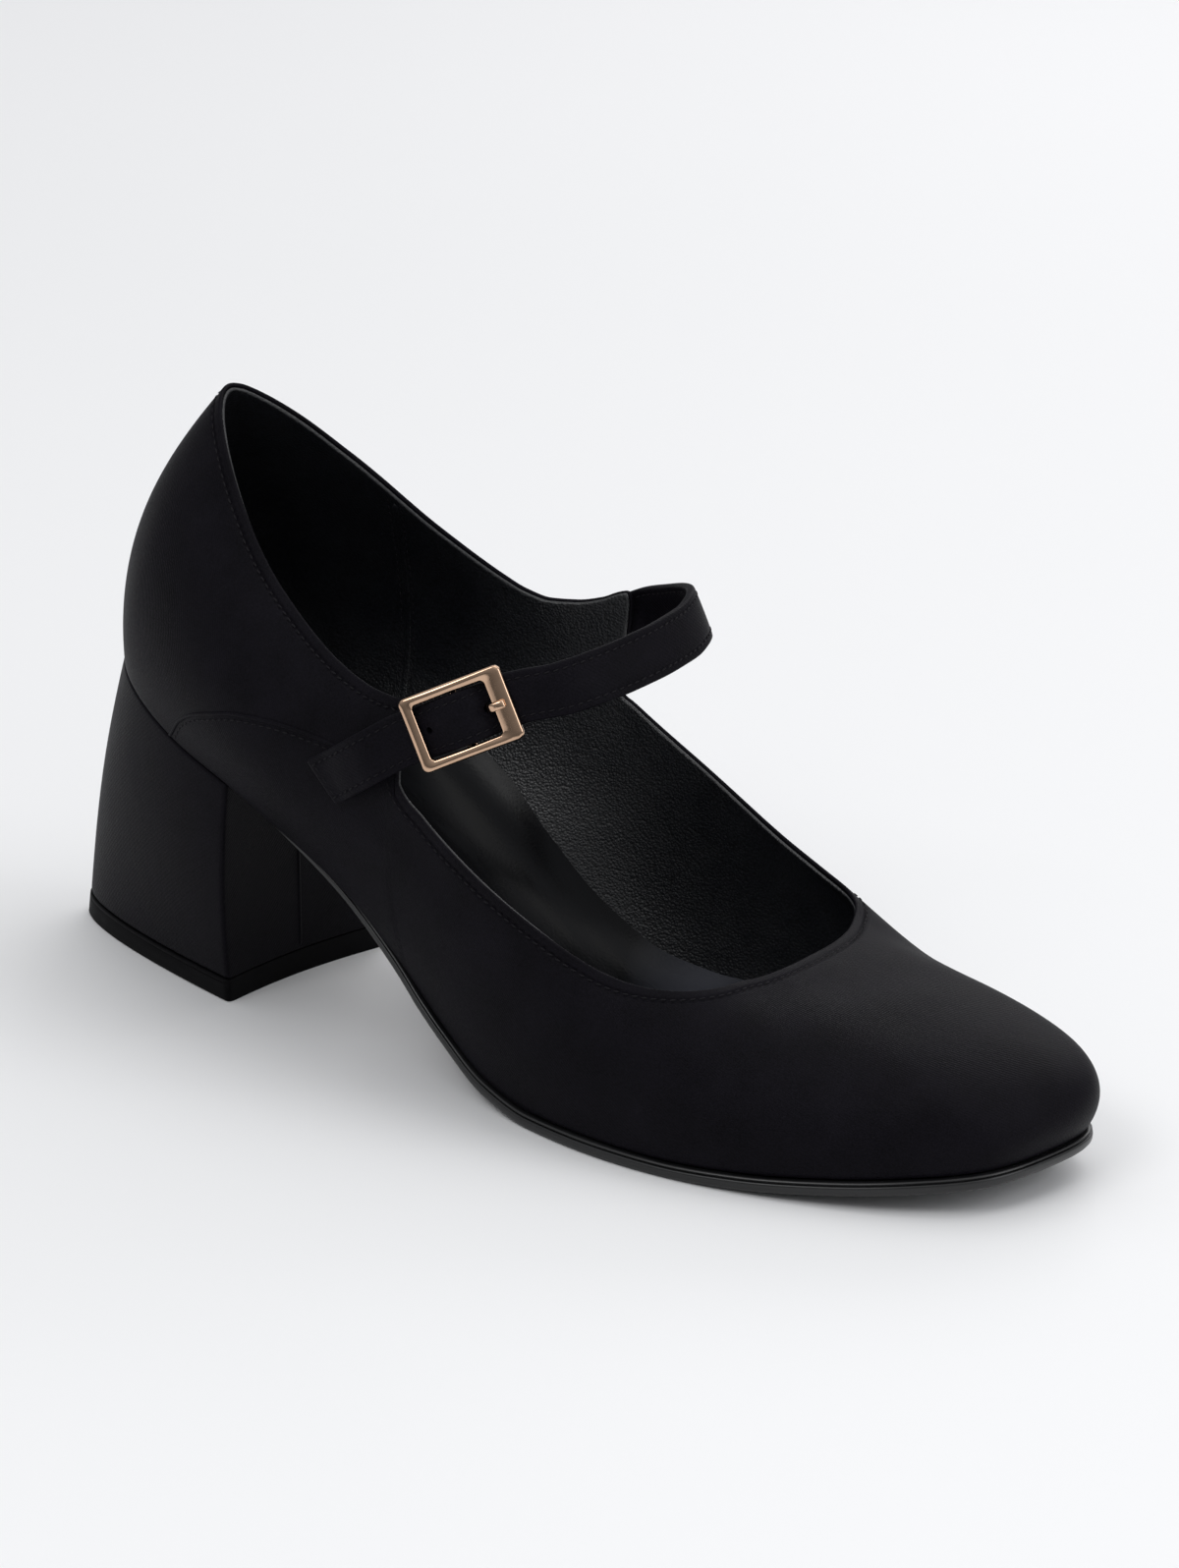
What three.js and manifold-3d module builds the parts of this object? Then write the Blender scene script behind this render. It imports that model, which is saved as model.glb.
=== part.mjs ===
// Right shoe of a satin mary jane pump: hollow lasted upper, thin outsole, covered block heel with
// its top lift, insole, instep strap, and a centre-bar buckle with prong and keeper tab.
//
// Millimetres, +X towards the toe, +Y towards the inner (medial) side, +Z up, standing on z = 0.
// The origin is the middle of the footprint, on the ground.
import * as THREE from "three";
import { mergeVertices } from "three/addons/utils/BufferGeometryUtils.js";
import Module from "manifold-3d";

const wasm = await Module();
wasm.setup();

// ---------------------------------------------------------------- driving dimensions
const GAP = 0.3; // clearance between touching pieces
const SEAM_GAP = 0.45; // measured straight down, where the bottom pieces meet the sloping upper
const WALL = 1.8; // satin, backing and lining together
const SOLE_THICKNESS = 3.05;
const SHANK_THICKNESS = 1.9; // the sole thins towards the heel breast
const SOLE_LIP = 1.0; // how far the sole stands out past the upper
const WAIST_INSET = 4.5; // how far the sole is drawn in under the upper at the heel breast
const WAIST_LENGTH = 50; // from the heel breast to where the sole has its full width
const INSOLE_THICKNESS = 2.2;
const LIFT_HEIGHT = 5.0;
const LIFT_LIP = 0.25;
const BREAST_X = 48.5; // front face of the heel
const BREAST_SKEW = 0.07; // the face turns forward towards the medial side
const BREAST_HOLLOW = 1.6;
const HEEL_BACK_X = -7.1; // back of the heel at the ground
const HEEL_HALF_WIDTH = 23.8; // of the heel's front edge at the ground
const HEEL_ROUNDNESS = 1.8; // plan of the heel's bottom: 1 a wedge, 2 a parabola
const HEEL_SWELL = 1.7; // outward swell of the heel halfway down
const STRAP_WIDTH = 10.6;
const STRAP_THICKNESS = 2.0;
const FRAME_LENGTH = 21.2; // along the strap
const FRAME_WIDTH = 15.3; // across the strap
const FRAME_THICKNESS = 1.8;
const ENTRY_BAR = 4.0;
const SIDE_BAR = 2.0;
const REAR_BAR = 2.4;
const BAR_DROP = 2.6; // centre bar below the middle of the frame
const BAR_RADIUS = 0.7;
const PRONG_WIDTH = 1.7;
const PRONG_THICKNESS = 1.1;
const PRONG_EYE_WALL = 0.6;
const PRONG_RISE = 5.6; // where the prong has come up to the entry bar
const PRONG_TIP = 9.0;
const TAB_WIDTH = 7.2;
const TAB_THICKNESS = 0.6;
const FRAME_CORNER = 1.0;
const WINDOW_CORNER = 0.7;
const LUG_LENGTH = 2.2; // lugs that carry the centre bar under the side bars
const BUCKLE_MIDDLE = new THREE.Vector3(108, -30.1, 77);
const BUCKLE_TURN = 32; // degrees that the strap turns inward at the buckle

// ---------------------------------------------------------------- tables
// Height of the upper's lower edge above the ground, along the shoe.
const SEAT = [
  // x, height
  [-10, 68.5],
  [4, 63.4],
  [20, 57.8],
  [34, 52.9],
  [48, 48.4],
  [60, 42.9],
  [74, 35.0],
  [90, 23.4],
  [106, 12.2],
  [120, 5.6],
  [133, 3.5],
  [164, 3.5],
  [181, 4.2],
  [199, 6.0],
  [215, 8.2],
  [235, 11.0],
];

// Half sections of the last, from the heel's back along the lateral side, round the toe and home
// along the medial side. Each is a cubic arc from the sole's edge up to the top of the last:
// footX, footY: where it leaves the sole; belly, rise: how far out and up its first control point is;
// full, crown: how far out and up the second one is from midway; topX, topY, topZ: its upper end.
const SECTIONS = [
  // footX, footY, belly, rise, full, crown, topX, topY, topZ
  [4.1, 0, 5.5, 24, 0, 1.0, 24.6, 0, 121.2],
  [10, -13, 2.8, 23, 0, 1.0, 28.5, -8.2, 116.5],
  [28, -23.5, 5.0, 18, 1, 1.0, 42, -16, 100.5],
  [56, -27.5, 12.0, 18, 2, 1.0, 62, -23, 86.2],
  [86, -25.5, 11.0, 20, 3, 1.0, 87, -29.5, 78.8],
  [114, -31, 6.0, 20, 1.5, 1.0, 115, -35, 62],
  [144, -38, 2.0, 12, 1.5, 1.0, 144, -35, 37.6],
  [174, -36.5, 2.0, 12, 4, 4.0, 160.5, -28, 35.4],
  [200, -28, 2.5, 13, 4, 2.5, 168.3, -18, 35.2],
  [213.5, -20.5, 3.5, 14, 4, 1.0, 170.8, -9.5, 35.3],
  [222.8, -11.5, 6.0, 15, 4, -1.0, 171.3, -2.5, 35.5],
  [226.6, 2, 9.5, 16, 5, -2.0, 171.2, 3, 35.6],
  [227.2, 15, 10, 17, 6, -3.0, 171, 9.5, 35.7],
  [220.5, 25.5, 7.0, 17, 6, -3.0, 169.8, 17, 35.9],
  [200, 31.5, 4.0, 16, 6, -2.0, 166.6, 25, 36],
  [174, 36, 2.5, 15, 4, 1.0, 159.3, 33.8, 37.4],
  [144, 36.5, 2.5, 16, 1, 1.0, 142, 36.1, 43.9],
  [114, 28.5, 8.0, 22, 0, 1.0, 115, 38, 66],
  [86, 20.0, 14.0, 24, 0, 1.0, 89, 34.5, 81.4],
  [56, 22.5, 12.0, 18, 0, 1.0, 66, 22.5, 92],
  [28, 23.0, 7.0, 18, 1, 1.0, 43.5, 13.5, 107.5],
  [10, 13.0, 5.5, 23, 0, 1.0, 29.3, 6.5, 117.6],
];
const TURNS = SECTIONS.length;

// Height of the topline where it leaves the sections' ends: it sags between heel and strap, rises to
// each ear and drops in front of it to the low sides of the vamp.
const LATERAL_TOPLINE = [
  // section, height
  [2.8, 88.3],
  [3, 86],
  [3.2, 83.9],
  [3.4, 81.95],
  [3.6, 80.15],
  [3.8, 78.65],
  [4, 77.6],
  [4.2, 77.3],
  [4.28, 77.8],
  [4.36, 61.2],
  [4.6, 56.3],
  [4.85, 52],
  [5.2, 46.6],
  [5.65, 40.6],
  [5.9, 37.7],
  [6.15, 35.6],
  [6.4, 34.5],
  [6.65, 34.15],
  [6.9, 34.3],
  [7.15, 34.6],
  [7.4, 34.85],
  [7.65, 35],
  [7.9, 35.1],
  [8.2, 35.13],
];
const MEDIAL_TOPLINE = [
  // section, height
  [14.6, 36.75],
  [14.8, 37.2],
  [15, 37.75],
  [15.2, 38.45],
  [15.4, 39.3],
  [15.6, 40.4],
  [15.8, 41.6],
  [16, 43.1],
  [16.2, 45.1],
  [16.4, 47.6],
  [16.6, 50.4],
  [16.8, 53.3],
  [17, 56.2],
  [17.2, 59.2],
  [17.4, 62.4],
  [17.52, 64.4],
  [17.59, 83.6],
  [17.63, 85.2],
  [17.7, 84.6],
  [17.8, 83.2],
  [18, 81.8],
  [18.2, 81.5],
  [18.4, 82.9],
  [18.6, 85.7],
  [18.8, 89.1],
  [19, 92.8],
  [19.2, 96.5],
  [19.4, 100.3],
  [19.6, 103.9],
  [19.8, 107],
  [20, 109.6],
  [20.2, 112],
  [20.4, 114.1],
  [20.6, 115.8],
  [20.8, 117.2],
  [21, 118.35],
  [21.3, 119.7],
  [21.6, 120.65],
  [21.9, 121.14],
];

// Middle of the strap between buckle and medial quarter, in its own plane.
const STRAP_ARCH = [
  // across (medial plus), forward
  [-13.0, 148.4],
  [2.0, 153.9],
  [16.0, 154.4],
  [27.5, 151.2],
  [35.5, 143.0],
  [42.0, 128.6],
];

// Where the strap's free end lies on the lateral quarter, with what it clears there, and where its
// other end is sewn to the medial quarter.
const STRAP_LIE = [
  // forward, clear of the quarter, down
  [95.4, 0.35, 3.2],
  [100, 0.55, 2.6],
  [106.5, 1.7, 1.75],
  [112.5, 1.8, 0.85],
];
const STRAP_HOLD = [
  // forward, clear of the quarter
  [122, 0.6],
  [114, 0.4],
];
// How far the strap is drawn down out of that plane along its length, as it settles on the instep.
const STRAP_SAG = [
  // share of the length, down
  [0, 3.2],
  [0.05, 2.3],
  [0.1, 1.25],
  [0.14, 0.4],
  [0.165, 0],
  [0.33, 0],
  [0.36, 0.6],
  [0.4, 1.7],
  [0.45, 2.2],
  [0.5, 2.45],
  [0.55, 2.45],
  [0.6, 2.2],
  [0.64, 1.9],
  [0.68, 1.0],
  [0.72, 0.1],
  [0.77, -0.7],
  [0.83, -1.2],
  [0.9, -1.8],
  [1, -1.8],
];
const TAB_LIE = [
  // forward, clear of the quarter
  [107, 0.3],
  [111, 0.3],
  [115, 0.3],
];

// ---------------------------------------------------------------- small maths
const clamp = (value, low, high) => Math.min(high, Math.max(low, value));
const mix = (a, b, share) => a + (b - a) * share;

// Smooth curve through the rows of a two-column table that never overshoots between two of them.
function along(table, x) {
  const last = table.length - 1;
  let i = 0;
  while (i < last - 1 && x > table[i + 1][0]) i += 1;
  const slope = (k) => (table[k + 1][1] - table[k][1]) / (table[k + 1][0] - table[k][0]);
  const tangent = (k) => {
    if (k === 0) return slope(0);
    if (k === last) return slope(last - 1);
    const before = slope(k - 1);
    const after = slope(k);
    return before * after <= 0 ? 0 : (2 * before * after) / (before + after);
  };
  const [x0, y0] = table[i];
  const [x1, y1] = table[i + 1];
  const span = x1 - x0;
  const u = clamp((x - x0) / span, 0, 1);
  const rise = (u * u * (3 - 2 * u)) * (y1 - y0);
  const lead = u * (1 - u) * (1 - u) * span * tangent(i);
  const tail = u * u * (1 - u) * span * tangent(i + 1);
  return y0 + rise + lead - tail;
}

const seat = (x) => along(SEAT, x);

// ---------------------------------------------------------------- the last
const row = (k) => SECTIONS[((k % TURNS) + TURNS) % TURNS];

// Four control points of one half section.
function arc(k) {
  const [footX, footY, belly, rise, full, crown, topX, topY, topZ] = row(k);
  const ahead = row(k + 1);
  const behind = row(k - 1);
  const out = new THREE.Vector3(ahead[1] - behind[1], behind[0] - ahead[0], 0).normalize();
  const foot = new THREE.Vector3(footX, footY, seat(footX));
  const low = foot.clone().addScaledVector(out, belly).setZ(foot.z + rise);
  const top = new THREE.Vector3(topX, topY, topZ);
  const high = low.clone().lerp(top, 0.5).addScaledVector(out, full);
  high.z += crown;
  return [foot, low, high, top];
}

// The sections are joined by a closed cubic spline that passes through them: its own control points
// settle to that by relaxation.
function throughSections(points) {
  let control = points.map((p) => p.clone());
  for (let pass = 0; pass < 40; pass += 1) {
    control = control.map((_, k) => {
      const before = control[(k + TURNS - 1) % TURNS];
      const after = control[(k + 1) % TURNS];
      return points[k].clone().multiplyScalar(6).sub(before).sub(after).divideScalar(4);
    });
  }
  return control;
}
const ARCS = [0, 1, 2, 3].map((i) => throughSections(SECTIONS.map((_, k) => arc(k)[i])));

// The last's surface: turn counts sections round the shoe, share runs up each arc.
function lastPoint(turn, share) {
  const k = Math.floor(turn);
  const u = turn - k;
  const v = 1 - u;
  const blend = [(v * v * v) / 6, (3 * u * u * u - 6 * u * u + 4) / 6, 0, (u * u * u) / 6];
  blend[2] = 1 - blend[0] - blend[1] - blend[3];
  const s = share;
  const r = 1 - s;
  const bernstein = [r * r * r, 3 * r * r * s, 3 * r * s * s, s * s * s];
  const point = new THREE.Vector3();
  blend.forEach((weight, i) => {
    const section = (((k + i - 1) % TURNS) + TURNS) % TURNS;
    ARCS.forEach((control, j) => point.addScaledVector(control[section], weight * bernstein[j]));
  });
  if (share === 0) point.z = seat(point.x);
  return point;
}

function inward(turn, share) {
  const step = 0.02;
  const low = clamp(share, step, 1 - step);
  const around = lastPoint(turn + step, low).sub(lastPoint(turn - step, low));
  const up = lastPoint(turn, low + step).sub(lastPoint(turn, low - step));
  return up.cross(around).normalize();
}

const BISECTIONS = 30;

// How far up each section the upper reaches: to its end, except beside the strap.
function topShare(turn) {
  const spansTurn = (rows) => turn > rows[0][0] && turn < rows[rows.length - 1][0];
  const table = [LATERAL_TOPLINE, MEDIAL_TOPLINE].find(spansTurn);
  if (!table) return 1;
  const height = along(table, turn);
  let low = 0.3;
  let high = 1.3;
  for (let i = 0; i < BISECTIONS; i += 1) {
    const mid = (low + high) / 2;
    if (lastPoint(turn, mid).z < height) low = mid;
    else high = mid;
  }
  return high;
}

// The sole's edge line, moved outward by a distance.
function edge(turn, outset) {
  const step = 0.02;
  const here = lastPoint(turn, 0);
  const run = lastPoint(turn + step, 0).sub(lastPoint(turn - step, 0));
  const out = new THREE.Vector3(run.y, -run.x, 0).normalize();
  return new THREE.Vector2(here.x + out.x * outset, here.y + out.y * outset);
}

// ---------------------------------------------------------------- solids from rings of points
// Rings of equal length are joined in order; the first and last are closed by caps of strips that run
// straight across, pairing point i with its opposite number.
function ringSolid(rings, looped = false) {
  const count = rings[0].length;
  const points = rings.flat();
  const faces = [];
  const last = rings.length - 1;
  for (let r = 0; r < (looped ? rings.length : last); r += 1) {
    const a = r * count;
    const b = ((r + 1) % rings.length) * count;
    for (let i = 0; i < count; i += 1) {
      const j = (i + 1) % count;
      faces.push([a + i, a + j, b + j], [a + i, b + j, b + i]);
    }
  }
  const cap = (start, flip) => {
    for (let i = 0; i < count / 2 - 1; i += 1) {
      const [a, b, c, d] = [i, i + 1, count - 2 - i, count - 1 - i].map((n) => start + n);
      if (flip) faces.push([a, c, b], [a, d, c]);
      else faces.push([a, b, c], [a, c, d]);
    }
  };
  if (!looped) {
    cap(0, true);
    cap(last * count, false);
  }
  return closedSolid(points, faces);
}

// A checked solid from points and triangles, turned right side out.
function closedSolid(points, faces) {
  const raw = new THREE.BufferGeometry();
  const flat = faces.flatMap((face) => face.flatMap((i) => points[i].toArray()));
  raw.setAttribute("position", new THREE.Float32BufferAttribute(flat, 3));
  const merged = mergeVertices(raw, 1e-4);
  const position = merged.attributes.position.array;
  const index = Array.from(merged.index.array);
  const solid = new wasm.Manifold(
    new wasm.Mesh({ numProp: 3, vertProperties: position, triVerts: new Uint32Array(index) }),
  );
  if (solid.volume() >= 0) return solid;
  const turned = new Uint32Array(index.length);
  for (let i = 0; i < index.length; i += 3) {
    turned.set([index[i], index[i + 2], index[i + 1]], i);
  }
  return new wasm.Manifold(new wasm.Mesh({ numProp: 3, vertProperties: position, triVerts: turned }));
}

function toGeometry(solid) {
  const { vertProperties, triVerts, numProp } = solid.getMesh();
  const geometry = new THREE.BufferGeometry();
  const positions = new Float32Array((vertProperties.length / numProp) * 3);
  for (let i = 0; i < positions.length / 3; i += 1) {
    for (let j = 0; j < 3; j += 1) positions[i * 3 + j] = vertProperties[i * numProp + j];
  }
  geometry.setAttribute("position", new THREE.BufferAttribute(positions, 3));
  geometry.setIndex(new THREE.BufferAttribute(new Uint32Array(triVerts), 1));
  geometry.computeVertexNormals();
  return geometry;
}

function fromGeometry(geometry) {
  const bare = geometry.index ? geometry.toNonIndexed() : geometry.clone();
  bare.deleteAttribute("normal");
  bare.deleteAttribute("uv");
  const merged = mergeVertices(bare, 1e-4);
  return new wasm.Manifold(new wasm.Mesh({
    numProp: 3,
    vertProperties: merged.attributes.position.array,
    triVerts: new Uint32Array(merged.index.array),
  }));
}

// ---------------------------------------------------------------- upper
// Sections are closer together where the ears are cut and round the toe's corners.
function turnSteps() {
  const steps = [];
  const spans = [
    // from section, to section, steps
    [0, 4, 14],
    [4, 4.27, 2],
    [4.27, 4.37, 5],
    [4.37, 6, 11],
    [6, 9, 12],
    [9, 13, 20],
    [13, 16, 12],
    [16, 17.51, 10],
    [17.51, 17.61, 5],
    [17.61, 18, 3],
    [18, 22, 16],
  ];
  spans.forEach(([from, to, count]) => {
    for (let i = 0; i < count; i += 1) steps.push(mix(from, to, i / count));
  });
  return steps;
}

function makeUpper() {
  const levels = 10;
  const turns = turnSteps();
  const outside = [];
  const inside = [];
  for (let j = 0; j <= levels; j += 1) {
    const level = j / levels;
    outside.push(turns.map((turn) => lastPoint(turn, level * topShare(turn))));
    inside.push(turns.map((turn) => {
      const share = level * topShare(turn);
      const point = lastPoint(turn, share);
      const moved = point.clone().addScaledVector(inward(turn, share), WALL);
      if (j === 0) moved.z = seat(moved.x);
      return moved;
    }));
  }
  return ringSolid([...outside, ...inside.reverse()], true);
}

// ---------------------------------------------------------------- bottom pieces
// Sections of the edge line that bound the forepart, from the lateral breast round the toe.
function turnAt(x, from, to) {
  let a = from;
  let b = to;
  for (let i = 0; i < BISECTIONS; i += 1) {
    const mid = (a + b) / 2;
    const inFront = lastPoint(mid, 0).x > x;
    if (inFront === (lastPoint(b, 0).x > x)) b = mid;
    else a = mid;
  }
  return (a + b) / 2;
}
const LATERAL_BREAST = turnAt(BREAST_X, 1, 5);
const MEDIAL_BREAST = turnAt(BREAST_X, TURNS - 5, TURNS - 1);

function sheetRings(ring, layers) {
  const raise = (p, height) => new THREE.Vector3(p.x, p.y, height(p.x));
  return layers.map(({ inset, height }) => ring(inset).map((p) => raise(p, height)));
}

function makeOutsole() {
  const count = 74;
  const forward = (x) => clamp((x - BREAST_X) / WAIST_LENGTH, 0, 1);
  const ring = (inset) => Array.from({ length: count }, (_, i) => {
    const turn = mix(LATERAL_BREAST + 0.02, MEDIAL_BREAST - 0.02, i / (count - 1));
    const x = lastPoint(turn, 0).x;
    return edge(turn, SOLE_LIP - inset - mix(WAIST_INSET, 0, forward(x)));
  });
  const thickness = (x) => mix(SHANK_THICKNESS, SOLE_THICKNESS, forward(x));
  const top = (x) => seat(x) - SEAM_GAP;
  const bottom = (x) => Math.max(0, top(x) - thickness(x));
  return ringSolid(sheetRings(ring, [
    { inset: 0.9, height: top },
    { inset: 0, height: (x) => top(x) - 0.5 },
    { inset: 0, height: (x) => mix(top(x), bottom(x), 0.7) },
    { inset: 0.8, height: bottom },
  ]));
}

function makeInsole() {
  const count = 96;
  const ring = () => Array.from({ length: count }, (_, i) => {
    const turn = (i + 0.5) * (TURNS / count);
    return edge(turn, -(WALL + 2 * GAP));
  });
  return ringSolid(sheetRings(ring, [
    { inset: 0, height: (x) => seat(x) + GAP },
    { inset: 0, height: (x) => seat(x) + GAP + INSOLE_THICKNESS },
  ]));
}

const BACK_HEIGHT = seat(lastPoint(0, 0).x); // of the seat at the heel's back

// Outline of the heel at a height share: 0 at the ground, 1 at the seat. Points run from the lateral
// end of the breast round the back to the medial end, then home across the breast.
function heelRing(share, outset, height) {
  const around = 37;
  const across = 9;
  const breast = (y) => BREAST_X + BREAST_SKEW * (y + HEEL_HALF_WIDTH);
  const points = [];
  for (let i = 0; i < around; i += 1) {
    const side = mix(-1, 1, i / (around - 1)); // -1 lateral, 0 back, 1 medial
    const y = side * HEEL_HALF_WIDTH;
    const depth = breast(y) - HEEL_BACK_X;
    const low = new THREE.Vector2(HEEL_BACK_X + depth * Math.abs(side) ** HEEL_ROUNDNESS, y);
    const turn = side < 0 ? -side * LATERAL_BREAST : TURNS - side * (TURNS - MEDIAL_BREAST);
    const high = edge(turn, 0);
    const spot = low.clone().lerp(high, share);
    const out = new THREE.Vector2(spot.x - BREAST_X, spot.y).normalize();
    spot.addScaledVector(out, HEEL_SWELL * Math.sin(Math.PI * share) + outset);
    points.push(new THREE.Vector3(spot.x, spot.y, height(spot.x)));
  }
  const start = points[around - 1].clone();
  const end = points[0].clone();
  for (let i = 1; i <= across; i += 1) {
    const u = i / (across + 1);
    const p = start.clone().lerp(end, u);
    p.x -= BREAST_HOLLOW * Math.sin(Math.PI * u);
    p.z = height(p.x);
    points.push(p);
  }
  return points;
}

function makeHeel() {
  const levels = 8;
  const bottom = LIFT_HEIGHT + GAP;
  const rings = [];
  for (let i = 0; i <= levels; i += 1) {
    const share = i / levels;
    const ringShare = mix(bottom / BACK_HEIGHT, 1, share);
    rings.push(heelRing(ringShare, 0, (x) => mix(bottom, seat(x) - SEAM_GAP, share)));
  }
  return fanSolid(rings);
}

function makeTopLift() {
  const bevel = 0.6;
  return fanSolid([
    heelRing(0, LIFT_LIP - bevel, () => 0),
    heelRing(0, LIFT_LIP, () => bevel),
    heelRing(LIFT_HEIGHT / BACK_HEIGHT, LIFT_LIP, () => LIFT_HEIGHT),
  ]);
}

// Rings joined in order, closed by triangulated caps.
function fanSolid(ringsEitherWay) {
  const flat = (ring) => ring.map((p) => new THREE.Vector2(p.x, p.y));
  const clockwise = THREE.ShapeUtils.isClockWise(flat(ringsEitherWay[0]));
  const rings = ringsEitherWay.map((ring) => (clockwise ? [...ring].reverse() : ring));
  const count = rings[0].length;
  const faces = [];
  for (let r = 0; r < rings.length - 1; r += 1) {
    for (let i = 0; i < count; i += 1) {
      const j = (i + 1) % count;
      const [a, b, c, d] = [r * count + i, r * count + j, (r + 1) * count + j, (r + 1) * count + i];
      faces.push([a, b, c], [a, c, d]);
    }
  }
  const top = (rings.length - 1) * count;
  const capOf = (ring) => THREE.ShapeUtils.triangulateShape(flat(ring), []);
  capOf(rings[0]).forEach(([a, b, c]) => faces.push([a, c, b]));
  capOf(rings[rings.length - 1]).forEach(([a, b, c]) => faces.push([top + a, top + b, top + c]));
  return closedSolid(rings.flat(), faces);
}

// ---------------------------------------------------------------- strap and buckle
// The strap bends like a hoop in one plane: its edges run along DOWN, and ACROSS and FORWARD span
// the plane of its middle line.
const DOWN = new THREE.Vector3(0.46, 0.06, -0.89).normalize();
const ACROSS = new THREE.Vector3(0, 1, 0).addScaledVector(DOWN, -DOWN.y).normalize();
const FORWARD = new THREE.Vector3().crossVectors(DOWN, ACROSS).normalize();
const PLANE = BUCKLE_MIDDLE.clone().projectOnVector(DOWN);
const TILT = BUCKLE_TURN * (Math.PI / 180);

const bandPoint = (across, forward, down) => PLANE.clone().addScaledVector(ACROSS, across)
  .addScaledVector(FORWARD, forward).addScaledVector(DOWN, down);
const middle = new THREE.Vector2(BUCKLE_MIDDLE.dot(ACROSS), BUCKLE_MIDDLE.dot(FORWARD));
const alongStrap = new THREE.Vector2(Math.sin(TILT), Math.cos(TILT));
const offStrap = new THREE.Vector2(-Math.cos(TILT), Math.sin(TILT));

// A place in the strap's plane, given along the strap and out from the middle of the buckle.
const atBuckle = ([run, out]) => middle.clone()
  .addScaledVector(alongStrap, run)
  .addScaledVector(offStrap, out);

// The buckle's own axes in space: along the strap, and out from it.
const inSpace = (v) => ACROSS.clone().multiplyScalar(v.x).addScaledVector(FORWARD, v.y);
const ALONG_BUCKLE = inSpace(alongStrap);
const OFF_BUCKLE = inSpace(offStrap);
const BUCKLE_CENTRE = PLANE.clone().add(inSpace(middle));

// Sample of the upper's outside, to lay bands on.
const SKIN = [];
for (let turn = 3; turn < TURNS - 2; turn += 0.02) {
  if (turn > 5.5 && turn < 16.5) continue;
  for (let level = 0.3; level <= 1.001; level += 0.02) {
    const p = lastPoint(turn, level * topShare(turn)).sub(PLANE);
    SKIN.push({ across: p.dot(ACROSS), forward: p.dot(FORWARD), down: p.dot(DOWN) });
  }
}

// How far out the upper reaches under a band at one place along it: side is -1 lateral, 1 medial.
function skinReach(forward, side, width, drop) {
  const near = (p) => Math.abs(p.down - drop) < width / 2 + 1 && Math.abs(p.forward - forward) < 1.6;
  const reach = SKIN.filter(near).map((p) => p.across * side);
  return Math.max(...reach);
}
const laid = (table, side, width, thickness) => table.map(([forward, clear, drop = 0]) => new THREE.Vector2(
  side * (skinReach(forward, side, width, drop) + clear + thickness / 2),
  forward,
));

// A band of even thickness along a path in the strap's plane, or drawn down from it by a table.
function band(path, width, thickness, sag = [[0, 0], [1, 0]]) {
  const rings = path.map((p, i) => {
    const before = path[Math.max(0, i - 1)];
    const after = path[Math.min(path.length - 1, i + 1)];
    const side = new THREE.Vector2(before.y - after.y, after.x - before.x).normalize();
    const drop = along(sag, i / (path.length - 1));
    const corner = (out, down) => bandPoint(
      p.x + (side.x * out * thickness) / 2,
      p.y + (side.y * out * thickness) / 2,
      (down * width) / 2 + drop,
    );
    return [corner(1, -1), corner(1, 1), corner(-1, 1), corner(-1, -1)];
  });
  return ringSolid(rings);
}

// A flat outline drawn along the strap and out from it, made as thick as asked along DOWN.
function acrossBuckle(shape, width) {
  const settings = { depth: width, bevelEnabled: false, curveSegments: 8 };
  const geometry = new THREE.ExtrudeGeometry(shape, settings);
  geometry.translate(0, 0, -width / 2);
  const down = new THREE.Vector3().crossVectors(ALONG_BUCKLE, OFF_BUCKLE);
  const turn = new THREE.Matrix4().makeBasis(ALONG_BUCKLE, OFF_BUCKLE, down);
  geometry.applyMatrix4(turn.setPosition(BUCKLE_CENTRE));
  return fromGeometry(geometry);
}

function rectangle(x0, x1, y0, y1) {
  const corners = [[x0, y0], [x1, y0], [x1, y1], [x0, y1]];
  return new THREE.Shape(corners.map(([x, y]) => new THREE.Vector2(x, y)));
}

function roundedRectangle(x0, x1, y0, y1, r) {
  const shape = new THREE.Shape();
  shape.moveTo(x0 + r, y0);
  shape.lineTo(x1 - r, y0);
  shape.absarc(x1 - r, y0 + r, r, -Math.PI / 2, 0, false);
  shape.lineTo(x1, y1 - r);
  shape.absarc(x1 - r, y1 - r, r, 0, Math.PI / 2, false);
  shape.lineTo(x0 + r, y1);
  shape.absarc(x0 + r, y1 - r, r, Math.PI / 2, Math.PI, false);
  shape.lineTo(x0, y0 + r);
  shape.absarc(x0 + r, y0 + r, r, Math.PI, Math.PI * 1.5, false);
  return shape;
}

// A round outline about the centre bar.
const disc = (radius) => new THREE.Shape().absarc(0, -BAR_DROP, radius, 0, Math.PI * 2, false);

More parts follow.
